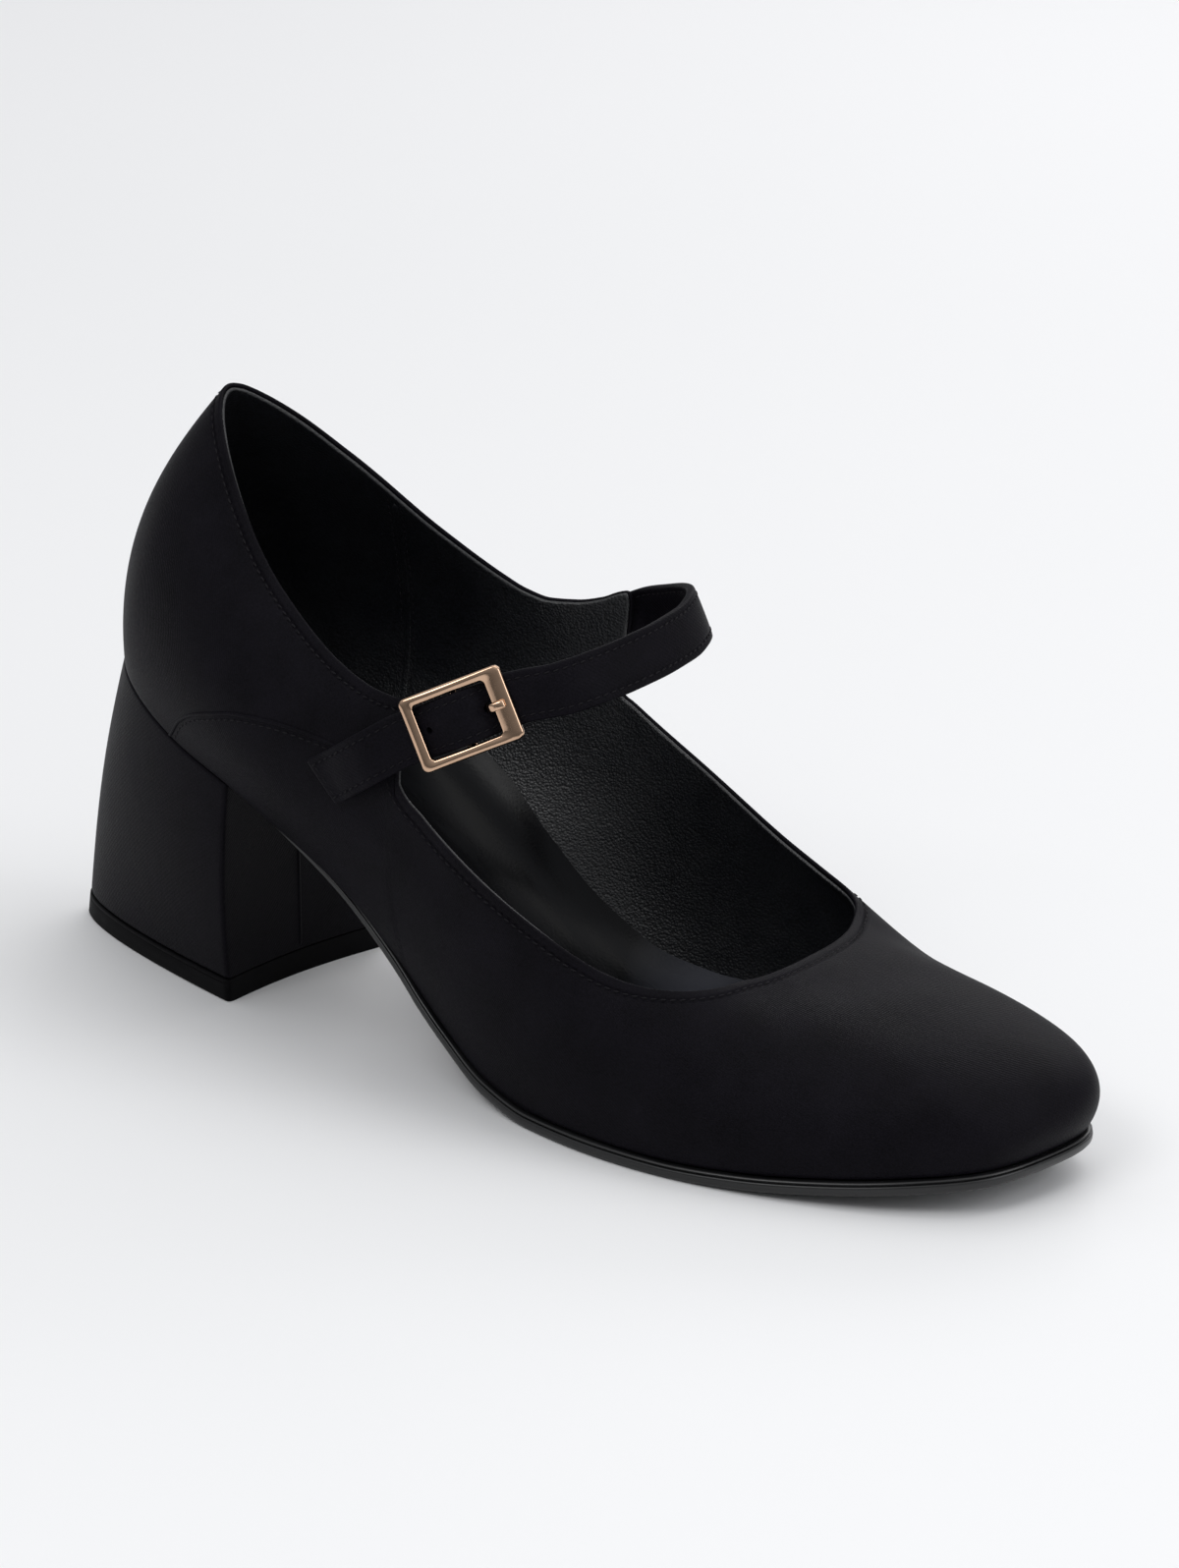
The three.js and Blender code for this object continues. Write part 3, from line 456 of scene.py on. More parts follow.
def top_share(turn):
    """How far up each section the upper reaches: to its end, except beside the strap."""
    turn = np.asarray(turn, float) % TURNS
    share = np.ones(turn.shape)
    for table in (LATERAL_TOPLINE, MEDIAL_TOPLINE):
        inside = (turn > table[0][0]) & (turn < table[-1][0])
        if inside.any():
            share[inside] = share_where(turn[inside], along(table, turn[inside]), 0.3)
    return share


def edge(turn, outset):
    """The sole's edge line in plan, moved outward by a distance."""
    step = 0.02
    here = last_point(turn, 0.0)
    run = last_point(turn + step, 0.0) - last_point(turn - step, 0.0)
    out = unit(np.stack([run[..., 1], -run[..., 0]], -1))
    return here[..., :2] + out * np.asarray(outset)[..., None]


def turn_at(x, a, b):
    """Turn between two others at which the sole's edge passes a place along the shoe."""
    for _ in range(BISECTIONS):
        mid = (a + b) / 2
        ahead = last_point(mid, 0.0)[0] > x
        if ahead == (last_point(b, 0.0)[0] > x):
            b = mid
        else:
            a = mid
    return (a + b) / 2


LATERAL_BREAST = turn_at(BREAST_X, 1.0, 5.0)
MEDIAL_BREAST = turn_at(BREAST_X, TURNS - 5.0, TURNS - 1.0)
BACK_HEIGHT = float(seat(last_point(0.0, 0.0)[0]))


def frame_shift():
    """From the last's coordinates to the frame's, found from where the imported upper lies."""
    turns = np.linspace(0, TURNS, 900)
    skin = np.concatenate([last_point(turns, s * top_share(turns)) for s in np.linspace(0, 1, 30)])
    low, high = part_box("upper")
    middle = (np.array(low) + np.array(high)) / 2 / MM
    own = (skin.min(0) + skin.max(0)) / 2
    return np.array([middle[0] - own[0], middle[1] - own[1], 0])


SHIFT = frame_shift()


# ------------------------------------------------------------------ meshes
def volume(points, faces):
    """Signed volume of a closed shape."""
    total = 0.0
    for size in sorted({len(f) for f in faces}):
        index = np.array([f for f in faces if len(f) == size])
        for k in range(1, size - 1):
            a, b, c = points[index[:, 0]], points[index[:, k]], points[index[:, k + 1]]
            total += np.einsum("ij,ij->i", a, np.cross(b, c)).sum()
    return total / 6


def add_object(name, data):
    thing = bpy.data.objects.new(name, data)
    bpy.context.scene.collection.objects.link(thing)
    return thing


def bake(piece):
    """Gives a piece the mesh that its modifiers make."""
    graph = bpy.context.evaluated_depsgraph_get()
    mesh = bpy.data.meshes.new_from_object(piece.evaluated_get(graph), depsgraph=graph)
    piece.modifiers.clear()
    piece.data = mesh


def add_mesh(name, points, faces, uvs, sharp):
    """A mesh object in the frame from points in millimetres, turned right side out."""
    points = np.asarray(points, float)
    faces = [tuple(int(i) for i in f) for f in faces]
    centred = points - points.mean(0)
    if volume(centred, faces) < 0:
        faces = [f[::-1] for f in faces]
        uvs = [u[::-1] for u in uvs]
    mesh = bpy.data.meshes.new(name)
    mesh.from_pydata(((points + SHIFT) * MM).tolist(), [], faces)
    layer = mesh.uv_layers.new(name="UVMap")
    layer.data.foreach_set("uv", np.concatenate([np.asarray(u, float) for u in uvs]).ravel() * MM)
    mesh.polygons.foreach_set("use_smooth", [True] * len(mesh.polygons))
    mesh.validate()
    if sharp is not None:
        mesh.set_sharp_from_angle(angle=math.radians(sharp))
    return add_object(name, mesh)


def ring_mesh(name, rings, looped=False, caps="fan", sharp=None):
    """Closed mesh from rings of equal length. The ends are closed by fans or by strips straight across."""
    rings = np.asarray(rings, float)
    rows, count = rings.shape[:2]
    points = rings.reshape(-1, 3)
    around = np.linalg.norm(np.roll(rings, -1, 1) - rings, axis=2).max(0)
    u = np.concatenate([[0], np.cumsum(around)])
    up = np.linalg.norm(np.roll(rings, -1, 0) - rings, axis=2).mean(1)
    v = np.concatenate([[0], np.cumsum(up)])
    faces, uvs = [], []
    for r in range(rows if looped else rows - 1):
        a, b = r * count, ((r + 1) % rows) * count
        for i in range(count):
            j = (i + 1) % count
            faces.append((a + i, a + j, b + j, b + i))
            uvs.append(((u[i], v[r]), (u[i + 1], v[r]), (u[i + 1], v[r + 1]), (u[i], v[r + 1])))
    if not looped:
        for start, flip in ((0, True), ((rows - 1) * count, False)):
            ring = points[start:start + count]
            new = []
            if caps == "fan":
                centre = len(points)
                points = np.vstack([points, ring.mean(0)])
                new = [(start + i, start + (i + 1) % count, centre) for i in range(count)]
            else:
                for i in range(count // 2 - 1):
                    new.append(tuple(start + n for n in (i, i + 1, count - 2 - i, count - 1 - i)))
            for face in new:
                face = face[::-1] if flip else face
                faces.append(face)
                uvs.append(tuple((points[n][0], points[n][1]) for n in face))
    return add_mesh(name, points, faces, uvs, sharp)


def sweep(name, line, side, out, profile, scale=None):
    """A profile of (side, out) distances carried along a line."""
    profile = np.asarray(profile, float)
    if scale is None:
        scale = np.ones((len(line), 2))
    rings = [
        p + np.outer(profile[:, 0] * k[0], s) + np.outer(profile[:, 1] * k[1], o)
        for p, s, o, k in zip(line, side, out, scale)
    ]
    return ring_mesh(name, rings)


def ellipse(half_side, half_out, count):
    angle = np.linspace(0, 2 * math.pi, count, endpoint=False)
    return np.stack([half_side * np.cos(angle), half_out * np.sin(angle)], 1)


def rounded_box(half_side, half_out, radius, per_corner, per_side):
    """Outline of a box with round corners, all the way round."""
    points = []
    corners = ((1, -1, -90), (1, 1, 0), (-1, 1, 90), (-1, -1, 180))
    for sx, sy, start in corners:
        cx, cy = sx * (half_side - radius), sy * (half_out - radius)
        for k in range(per_corner + 1):
            a = math.radians(start + 90 * k / per_corner)
            points.append((cx + radius * math.cos(a), cy + radius * math.sin(a)))
    points = np.array(points)
    filled = []
    for p, q in zip(points, np.roll(points, -1, 0)):
        steps = per_side if np.linalg.norm(q - p) > radius else 1
        filled += [mix(p, q, k / steps) for k in range(steps)]
    return np.array(filled)


def taper_ends(line, length):
    """Scale along a line that rounds off both of its ends."""
    run = lengths(line)
    to_end = np.minimum(run, run[-1] - run) / length
    k = np.sqrt(np.clip(1 - (1 - np.clip(to_end, 0, 1)) ** 2, 0.02, 1))
    return np.stack([k, k], 1)


def cut(piece, cutter):
    """Takes one mesh out of another for good."""
    modifier = piece.modifiers.new("cut", "BOOLEAN")
    modifier.operation = "DIFFERENCE"
    modifier.solver = "EXACT"
    modifier.object = cutter
    bake(piece)
    bpy.data.objects.remove(cutter)


def settle(piece, material, slot, *nodes):
    """Gives a finished piece its material and its place in the frame."""
    piece.data.materials.clear()
    piece.data.materials.append(material)
    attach(piece, "root")
    if nodes:
        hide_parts(*nodes)


# ------------------------------------------------------------------ materials
class Nodes:
    """A new material's node tree, with a short way to add and join nodes."""

    def __init__(self, name):
        self.material = bpy.data.materials.new(name)
        self.material.use_nodes = True
        self.tree = self.material.node_tree
        self.shader = self.tree.nodes["Principled BSDF"]

    def feed(self, socket, value):
        """Joins a socket to an output, or gives it a plain value."""
        if isinstance(value, bpy.types.NodeSocket):
            self.tree.links.new(value, socket)
        else:
            socket.default_value = value

    def add(self, kind, settings=None, **inputs):
        node = self.tree.nodes.new(kind)
        for key, value in (settings or {}).items():
            setattr(node, key, value)
        for key, value in inputs.items():
            self.feed(node.inputs[key.replace("_", " ")], value)
        return node

    def set(self, **inputs):
        for key, value in inputs.items():
            self.feed(self.shader.inputs[key.replace("_", " ")], value)

    def noise(self, vector, scale, detail, roughness=0.5):
        return self.add("ShaderNodeTexNoise", Vector=vector, Scale=scale, Detail=detail,
                        Roughness=roughness).outputs["Fac"]

    def streaks(self, vector, scale, detail):
        """Noise with its own scale along each axis."""
        return self.noise(self.add("ShaderNodeMapping", Vector=vector, Scale=scale).outputs["Vector"],
                          1.0, detail)

    def ramp(self, factor, low, high, start, end):
        """A number between low and high as the factor goes from start to end."""
        return self.add("ShaderNodeMapRange", Value=factor, From_Min=start, From_Max=end, To_Min=low,
                        To_Max=high).outputs["Result"]

    def tint(self, factor, colour, first, last):
        """A colour that goes from one shade of itself to another with the factor."""
        node = self.add("ShaderNodeMix", {"data_type": "RGBA"}, Factor=factor)
        node.inputs["A"].default_value = (*shade(colour, first), 1.0)
        node.inputs["B"].default_value = (*shade(colour, last), 1.0)
        return node.outputs["Result"]

    def math(self, operation, a, b):
        node = self.add("ShaderNodeMath", {"operation": operation})
        for socket, value in zip(node.inputs, (a, b)):
            self.feed(socket, value)
        return node.outputs["Value"]

    def bump(self, height, distance, strength, normal=None):
        node = self.add("ShaderNodeBump", Height=height, Distance=distance * MM, Strength=strength)
        if normal is not None:
            self.tree.links.new(normal, node.inputs["Normal"])
        return node.outputs["Normal"]

    def place(self, output="Object"):
        return self.add("ShaderNodeTexCoord").outputs[output]


def shade(colour, factor):
    return tuple(min(1.0, c * factor) for c in colour)


def made_once(name):
    """Turns a function that fills in a new material into one that makes it once and then finds it."""
    def wrap(fill):
        def material(finish):
            if name not in bpy.data.materials:
                fill(Nodes(name), finish)
            return bpy.data.materials[name]
        return material
    return wrap


@made_once("Satin")
def satin_material(m, finish):
    uv, place = m.place("UV"), m.place("Object")
    cloud = m.noise(place, 90.0, 4.0)
    slub = m.streaks(uv, (900.0, 5200.0, 1.0), 2.0)
    fibre = m.noise(place, 2700.0, 2.0, 0.6)
    weave = m.add("ShaderNodeTexWave", {"bands_direction": "DIAGONAL"}, Vector=uv, Scale=620.0,
                  Distortion=1.2, Detail=1.0).outputs["Fac"]
    tone = m.math("ADD", m.math("MULTIPLY", cloud, 0.45), m.math("MULTIPLY", fibre, 0.55))
    m.set(
        Base_Color=m.tint(m.ramp(tone, 0.0, 1.0, 0.32, 0.68), finish.satin, 0.5, 1.6),
        Roughness=m.ramp(m.math("ADD", slub, m.math("MULTIPLY", cloud, 0.5)), 0.40, 0.56, 0.4, 1.1),
        IOR=1.12,
        Sheen_Weight=0.008,
        Sheen_Roughness=0.35,
        Sheen_Tint=(*finish.satin_sheen, 1.0),
    )
    threads = m.math("ADD", slub, m.math("MULTIPLY", fibre, 0.8))
    height = m.math("ADD", m.math("MULTIPLY", weave, 0.3), threads)
    ripple = m.bump(m.noise(place, 150.0, 2.0), 0.22, 0.35)
    m.set(Normal=m.bump(height, 0.09, 0.75, ripple))


@made_once("Grained lining leather")
def lining_material(m, finish):
    place = m.place()
    cells = m.add("ShaderNodeTexVoronoi", {"feature": "SMOOTH_F1"}, Vector=place, Scale=2000.0,
                  Smoothness=0.4, Randomness=1.0).outputs["Distance"]
    fine = m.noise(place, 2600.0, 2.0)
    tone = m.noise(place, 120.0, 3.0)
    m.set(
        Base_Color=m.tint(m.ramp(cells, 0.0, 1.0, 0.1, 0.75), finish.lining, 1.5, 0.5),
        Roughness=m.ramp(tone, 0.36, 0.46, 0.3, 0.7),
        Specular_IOR_Level=0.62,
    )
    height = m.math("SUBTRACT", m.math("MULTIPLY", fine, 0.25), cells)
    m.set(Normal=m.bump(height, 0.11, 0.85))


@made_once("Smooth sock leather")
def sock_material(m, finish):
    place = m.place()
    pores = m.noise(place, 1700.0, 2.0)
    streak = m.streaks(place, (50.0, 210.0, 50.0), 3.0)
    # painted sheen: the base colour is made lighter in a soft round spot beside the ball, where the curled
    # sock catches the light
    sheen_distance = m.add("ShaderNodeVectorMath", {"operation": "DISTANCE"})
    m.tree.links.new(place, sheen_distance.inputs[0])
    sheen_distance.inputs[1].default_value = tuple((SOCK_PAINTED_SHEEN + SHIFT) * MM)
    painted_sheen = m.ramp(sheen_distance.outputs["Value"], 0.9, 0.0, 0.002, 0.018)
    # tone is the random streaks plus the painted sheen
    tone = m.math("ADD", m.ramp(streak, 0.0, 0.1, 0.3, 0.7), painted_sheen)
    m.set(
        Base_Color=m.tint(tone, finish.sock, 0.7, 16.0),
        Roughness=m.ramp(streak, 0.2, 0.36, 0.3, 0.7),
        IOR=1.2,
    )
    m.set(Normal=m.bump(pores, 0.05, 0.5, m.bump(streak, 0.08, 0.2)))


@made_once("Burnished sole")
def sole_material(m, finish):
    place = m.place()
    grain = m.noise(place, 1300.0, 3.0)
    wear = m.noise(place, 60.0, 5.0, 0.62)
    m.set(
        Base_Color=m.tint(m.ramp(wear, 0.0, 1.0, 0.35, 0.7), finish.sole, 0.8, 1.5),
        Roughness=m.ramp(wear, 0.28, 0.45, 0.35, 0.7),
        Specular_IOR_Level=0.5,
        Normal=m.bump(grain, 0.04, 0.5),
    )


@made_once("Top lift rubber")
def rubber_material(m, finish):
    place = m.place()
    dust = m.noise(place, 240.0, 5.0, 0.65)
    grit = m.noise(place, 2400.0, 2.0)
    m.set(
        Base_Color=m.tint(m.ramp(dust, 0.0, 1.0, 0.4, 0.75), finish.rubber, 0.85, 1.7),
        Roughness=m.ramp(dust, 0.46, 0.62, 0.3, 0.7),
        IOR=1.12,
        Normal=m.bump(grit, 0.05, 0.5),
    )


@made_once("Thread")
def thread_material(m, finish):
    twist = m.add("ShaderNodeTexWave", {"bands_direction": "DIAGONAL"}, Vector=m.place(),
                  Scale=1500.0).outputs["Fac"]
    m.set(
        Base_Color=m.tint(twist, finish.thread, 0.6, 1.4),
        Roughness=0.6,
        IOR=1.2,
        Normal=m.bump(twist, 0.04, 0.6),
    )


@made_once("Rose gold plating")
def plating_material(m, finish):
    place = m.place()
    smudge = m.noise(place, 260.0, 4.0, 0.6)
    polish = m.streaks(place, (500.0, 3600.0, 500.0), 2.0)
    m.set(
        Base_Color=m.tint(m.ramp(smudge, 0.0, 1.0, 0.35, 0.7), finish.plating, 0.93, 1.06),
        Metallic=1.0,
        Roughness=m.ramp(smudge, 0.05, 0.11, 0.3, 0.7),
        Normal=m.bump(polish, 0.002, 0.2),
    )


@made_once("Studio floor")
def floor_material(m, finish):
    cloud = m.noise(m.place(), 3.0, 3.0)
    m.set(
        Base_Color=m.tint(cloud, finish.floor, 0.985, 1.01),
        Roughness=0.6,
        Specular_IOR_Level=0.3,
    )


# ------------------------------------------------------------------ upper
def turn_stations():
    return np.concatenate([np.linspace(a, b, n, endpoint=False) for a, b, n in TURN_STEPS])


def crease_depth(points):
    """How far the satin is pressed in by its soft troughs, with ridges as negative depths."""
    depth = np.zeros(points.shape[:-1])
    for row in CREASES:
        direction = unit(np.array(row[3:6], float))
        offset = points - np.array(row[:3], float)
        run = offset @ direction
        across = np.linalg.norm(offset - run[..., None] * direction, axis=-1)
        depth += row[8] * np.exp(-(run / row[6]) ** 2 - (across / row[7]) ** 2)
    return depth


def top_edge(turns):
    """The topline with its outward normal and the direction that leaves the upper across it."""
    share = top_share(turns)
    line = last_point(turns, share)
    normal = skin_normal(turns, share)
    run = unit(np.roll(line, -1, 0) - np.roll(line, 1, 0))
    off = unit(np.cross(normal, run))
    up = line - last_point(turns, share - 0.05)
    if np.einsum("ij,ij->i", off, up).sum() < 0:
        off = -off
    return line, normal, off


def layer_rings(outer, inner, drop, levels, relief, groove=0.0):
    """Rings of a layer of the upper between two depths under the last's surface, with a rounded edge."""
    turns = turn_stations()
    share = top_share(turns)
    line, normal, off = top_edge(turns)

    def sheet(level, depth):
        point = last_point(turns, level * share)
        sunk = np.full(turns.shape, depth)
        if relief and depth == outer:
            from_edge = np.linalg.norm(point - line, axis=1)
            sunk += crease_depth(point) * smooth(level / 0.1) * smooth((1 - level) / 0.08)
            sunk += TOPLINE_GROOVE * np.exp(-((from_edge - groove) / GROOVE_WIDTH) ** 2)
        point -= skin_normal(turns, level * share) * sunk[:, None]
        if level == 0:
            point[:, 2] = seat(point[:, 0])
        return point - off * drop * smooth((level - 0.9) / 0.1)

    near_edge = np.linspace(0.92, 1, levels // 2)
    outside = [sheet(level, outer) for level in np.append(np.linspace(0, 0.9, levels), near_edge)]
    inside = [sheet(level, inner) for level in np.append(np.linspace(0, 0.9, levels // 2), near_edge[::3])]
    half = (inner - outer) / 2
    centre = line - normal * (outer + half) - off * drop
    arcs = []
    for angle in np.linspace(0, math.pi, 9)[1:-1]:
        arcs.append(centre + normal * half * math.cos(angle) + off * half * math.sin(angle))
    inside.append(sheet(1, inner))
    return outside + arcs + inside[::-1]


def seam_line(turns):
    """The seam between vamp and quarter on one side, with the surface's normal along it."""
    share = share_where(turns, lambda p: along(QUARTER_SEAM, p[..., 0]))
    return last_point(turns, share), skin_normal(turns, share)


def laid_tube(name, line, normal, half_width, half_height):
    """A low round ridge along a line on a surface, with tapered ends."""
    run = unit(np.gradient(line, axis=0))
    side = unit(np.cross(normal, run))
    return sweep(name, line, side, normal, ellipse(half_width, half_height, 10),
                 scale=taper_ends(line, 3 * half_width))


class PUMP_OT_upper(bpy.types.Operator):
    """Make the satin skin of the upper, its lining and the folds of its seams"""
    bl_idname = f"{PREFIX}.upper"
    bl_label = "Upper and lining"

    def execute(self, context):
        sizes, finish = context.scene.pump_sizes, context.scene.pump_finish
        satin = sizes.satin / MM
        groove = sizes.topline_inset / MM
        rings = layer_rings(0.0, satin, 0.0, SATIN_LEVELS, True, groove)
        skin = ring_mesh("upper_satin", rings, looped=True)
        settle(skin, satin_material(finish), "satin", "upper")
        rings = layer_rings(satin + LAYER_GAP, WALL, sizes.lining_drop / MM, LINING_LEVELS, False)
        lining = ring_mesh("upper_lining", rings, looped=True)
        settle(lining, lining_material(finish), "lining", "upper")
        for side, (start, end) in QUARTER_SEAM_SPANS.items():
            line, normal = seam_line(np.linspace(start, end, 150))
            fold = laid_tube(f"quarter_fold_{side}", line - normal * FOLD_SINK, normal,
                             FOLD_HALF_WIDTH, FOLD_HALF_HEIGHT)
            settle(fold, satin_material(finish), "satin")
        return {"FINISHED"}


# ------------------------------------------------------------------ bottom
class PUMP_OT_bottom(bpy.types.Operator):
    """Make the sole unit with its edge bead, and the sock that covers the insole"""
    bl_idname = f"{PREFIX}.bottom"
    bl_label = "Sole and sock"

    def execute(self, context):
        finish = context.scene.pump_finish
        turns = np.linspace(LATERAL_BREAST + 0.02, MEDIAL_BREAST - 0.02, 420)
        x = last_point(turns, 0.0)[:, 0]
        forward = np.clip((x - BREAST_X) / WAIST_LENGTH, 0, 1)
        inset = mix(WAIST_INSET, 0.0, forward)
        rings = []
        for step, share in SOLE_EDGE:
            plan = edge(turns, SOLE_LIP - step - inset)
            ahead = np.clip((plan[:, 0] - BREAST_X) / WAIST_LENGTH, 0, 1)
            top = seat(plan[:, 0]) - SEAM_GAP
            bottom = np.maximum(0, top - mix(SHANK_THICKNESS, SOLE_THICKNESS, ahead))
            rings.append(np.column_stack([plan, mix(top, bottom, share)]))
        sole = ring_mesh("sole_unit", rings, caps="strips", sharp=50)
        settle(sole, sole_material(finish), "sole", "outsole")
        sock = self.sock()
        settle(sock, sock_material(finish), "sock", "insole")
        return {"FINISHED"}

    def sock(self):
        """A thin leather sheet over the board, curled up the wall along its medial edge."""
        base = GAP + INSOLE_THICKNESS
        step = TURNS / 2 / SOCK_ROWS
        lateral = (np.arange(SOCK_ROWS) + 0.5) * step
        medial = TURNS - lateral

        def rim(turn, curl):
            goal = lambda p: seat(p[..., 0]) + base + curl
            share = share_where(turn, goal, 0.0, 0.6)
            return last_point(turn, share) - skin_normal(turn, share) * (WALL + GAP)

        x = last_point(lateral, 0.0)[:, 0]
        left = rim(lateral, np.minimum(SOCK_LATERAL_CURL, along(SOCK_CUP, x)))
        right = rim(medial, along(SOCK_CUP, last_point(medial, 0.0)[:, 0]))
        top, bottom = [], []
        for w in np.linspace(0, 1, SOCK_POINTS):
            plan = mix(left[:, :2], right[:, :2], w)
            floor = seat(plan[:, 0]) + base
            curl_left = (left[:, 2] - seat(left[:, 0]) - base) * (1 - w) ** SOCK_CURL_POWER
            curl_right = (right[:, 2] - seat(right[:, 0]) - base) * w ** SOCK_CURL_POWER
            dish = -SOCK_DISH * np.sin(math.pi * w) ** 2
            z = floor + curl_left + curl_right + dish
            top.append(np.column_stack([plan, z]))
            bottom.append(np.column_stack([plan, z - SOCK_THICKNESS]))
        top, bottom = np.array(top), np.array(bottom)
        rows = [np.vstack([top[:, k], bottom[::-1, k]]) for k in range(SOCK_ROWS)]
        return ring_mesh("sock", rows, caps="strips", sharp=60)


# ------------------------------------------------------------------ heel
def heel_ring(share, outset, height, radius):
    """Outline of the heel at a share of its height, with its two front corners rounded."""
    side = np.linspace(-1, 1, 161)
    y = side * HEEL_HALF_WIDTH
    depth = BREAST_X + BREAST_SKEW * (y + HEEL_HALF_WIDTH) - HEEL_BACK_X
    low = np.stack([HEEL_BACK_X + depth * np.abs(side) ** HEEL_ROUNDNESS, y], 1)
    turn = np.where(side < 0, -side * LATERAL_BREAST, TURNS - side * (TURNS - MEDIAL_BREAST))
    spot = mix(low, edge(turn, np.zeros_like(turn)), share)
    out = unit(spot - np.array([BREAST_X, 0]))
    back = spot + out * (HEEL_SWELL * math.sin(math.pi * share) + outset)
    u = np.linspace(0, 1, 61)
    breast = mix(back[-1], back[0], u[:, None])
    breast[:, 0] -= BREAST_HOLLOW * np.sin(math.pi * u)
    corners = (back[-1], back[0])
    back = resample(back, HEEL_BACK_POINTS, radius, radius)
    breast = resample(breast, HEEL_BREAST_POINTS, radius, radius)

    def fillet(a, corner, b):
        t = np.linspace(0, 1, HEEL_CORNER_POINTS + 2)[1:-1, None]
        return (1 - t) ** 2 * a + 2 * t * (1 - t) * corner + t * t * b

    plan = np.vstack([
        back, fillet(back[-1], corners[0], breast[0]),
        breast, fillet(breast[-1], corners[1], back[0]),
    ])
    return np.column_stack([plan, height(plan[:, 0])])


def heel_level(share, outset=0.0):
    bottom = LIFT_HEIGHT + GAP
    ring_share = mix(bottom / BACK_HEIGHT, 1, share)
    return heel_ring(ring_share, outset, lambda x: mix(bottom, seat(x) - SEAM_GAP, share), HEEL_EDGE)


class PUMP_OT_heel(bpy.types.Operator):
    """Make the covered block heel, the seam of its cover and its rubber top lift"""
    bl_idname = f"{PREFIX}.heel"
    bl_label = "Heel and top lift"

    def execute(self, context):
        finish = context.scene.pump_finish
        shares = [(s, -inset) for s, inset in COVER_TUCK]
        shares += [(s, 0.0) for s in np.linspace(0.015, 0.985, 46)]
        shares += [(1 - s, -inset) for s, inset in reversed(COVER_TUCK)]
        cover = ring_mesh("heel_cover", [heel_level(s, o) for s, o in shares], sharp=60)
        settle(cover, satin_material(finish), "heel_cover", "heel")
        middle = HEEL_BACK_POINTS + HEEL_CORNER_POINTS + HEEL_BREAST_POINTS // 2
        line = np.array([heel_level(s)[middle] for s in np.linspace(0.012, 0.97, 60)])
        normal = unit(np.tile(np.array([1.0, -BREAST_SKEW, 0.0]), (len(line), 1)))
        seam = laid_tube("heel_cover_seam", line - normal * COVER_SEAM_SINK, normal,
                         COVER_SEAM_HALF_WIDTH, COVER_SEAM_HALF_HEIGHT)
        settle(seam, satin_material(finish), "heel_cover")
        rings = [
            heel_ring(z / BACK_HEIGHT, LIFT_LIP + out, lambda x, z=z: np.full(x.shape, z), LIFT_CORNER)
            for z, out in LIFT_EDGE
        ]
        lift = ring_mesh("rubber_top_lift", rings, sharp=50)
        settle(lift, rubber_material(finish), "top_lift", "top_lift")
        return {"FINISHED"}


# ------------------------------------------------------------------ strap
DOWN = unit(np.array([0.46, 0.06, -0.89]))
ACROSS = unit(np.array([0, 1, 0]) - DOWN * DOWN[1])
FORWARD = unit(np.cross(DOWN, ACROSS))
PLANE = DOWN * (BUCKLE_MIDDLE @ DOWN)
MIDDLE = np.array([BUCKLE_MIDDLE @ ACROSS, BUCKLE_MIDDLE @ FORWARD])
ALONG = np.array([math.sin(BUCKLE_TURN), math.cos(BUCKLE_TURN)])
OFF = np.array([-math.cos(BUCKLE_TURN), math.sin(BUCKLE_TURN)])
ALONG_SPACE = ACROSS * ALONG[0] + FORWARD * ALONG[1]
OFF_SPACE = ACROSS * OFF[0] + FORWARD * OFF[1]
BUCKLE_CENTRE = PLANE + ACROSS * MIDDLE[0] + FORWARD * MIDDLE[1]


def at_buckle(run, out):
    """A place in the strap's plane, given along the strap and out from the buckle's middle."""
    return MIDDLE + ALONG * run + OFF * out


def in_space(flat):
    """From the strap's plane to space."""
    return PLANE + flat[..., :1] * ACROSS + flat[..., 1:2] * FORWARD


def buckle_space(run, side, out):
    """A place near the buckle, on its own axes."""
    distances = np.broadcast_arrays(*(np.asarray(v, float) for v in (run, side, out)))
    run, side, out = (v[..., None] for v in distances)
    return BUCKLE_CENTRE + run * ALONG_SPACE + side * DOWN + out * OFF_SPACE


def quarter_skin():
    """Samples of the upper's sides, on the strap's axes."""
    turns = np.concatenate([np.arange(3, 5.5, 0.02), np.arange(16.5, 20, 0.02)])
    share = top_share(turns)
    levels = np.arange(0.3, 1.001, 0.02)
    points = np.concatenate([last_point(turns, level * share) for level in levels]) - PLANE
    return np.stack([points @ ACROSS, points @ FORWARD, points @ DOWN], 1)


def laid(table, side, width, thickness, skin):
    """Middle line of a band that lies on the upper's side."""
    line = []
    for forward, clear, drop in table:
        near = (np.abs(skin[:, 2] - drop) < width / 2 + 1) & (np.abs(skin[:, 1] - forward) < 1.6)
        reach = (skin[near, 0] * side).max()
        line.append((side * (reach + clear + thickness / 2), forward))
    return line


def strap_path(width, thickness, skin):
    under = -FRAME_THICKNESS / 2 - GAP - thickness / 2
    over = -BAR_DROP + BAR_RADIUS + 2 * GAP + TAB_THICKNESS + thickness / 2 + 0.1
    weave = ((-11, under - 0.2), (-7.8, under), (0, over), (6.4, under), (11.5, under - 0.1))
    stations = laid(STRAP_LIE, -1, width, thickness, skin)
    stations += [tuple(at_buckle(run, out)) for run, out in weave]
    stations += list(STRAP_ARCH) + laid(STRAP_HOLD, 1, width, thickness, skin)
    return catmull(stations)


def sagged(path):
    """The strap's middle line in space, with its sag."""
    run = lengths(path)
    return in_space(path) + DOWN * along(STRAP_SAG, run / run[-1])[:, None]


def flat_sides(path):
    """Unit vectors across a path in the strap's plane, pointing away from the foot."""
    run = unit(np.gradient(path, axis=0))
    return np.stack([-run[:, 1], run[:, 0]], 1)


def to_space(flat):
    return flat[:, :1] * ACROSS + flat[:, 1:2] * FORWARD


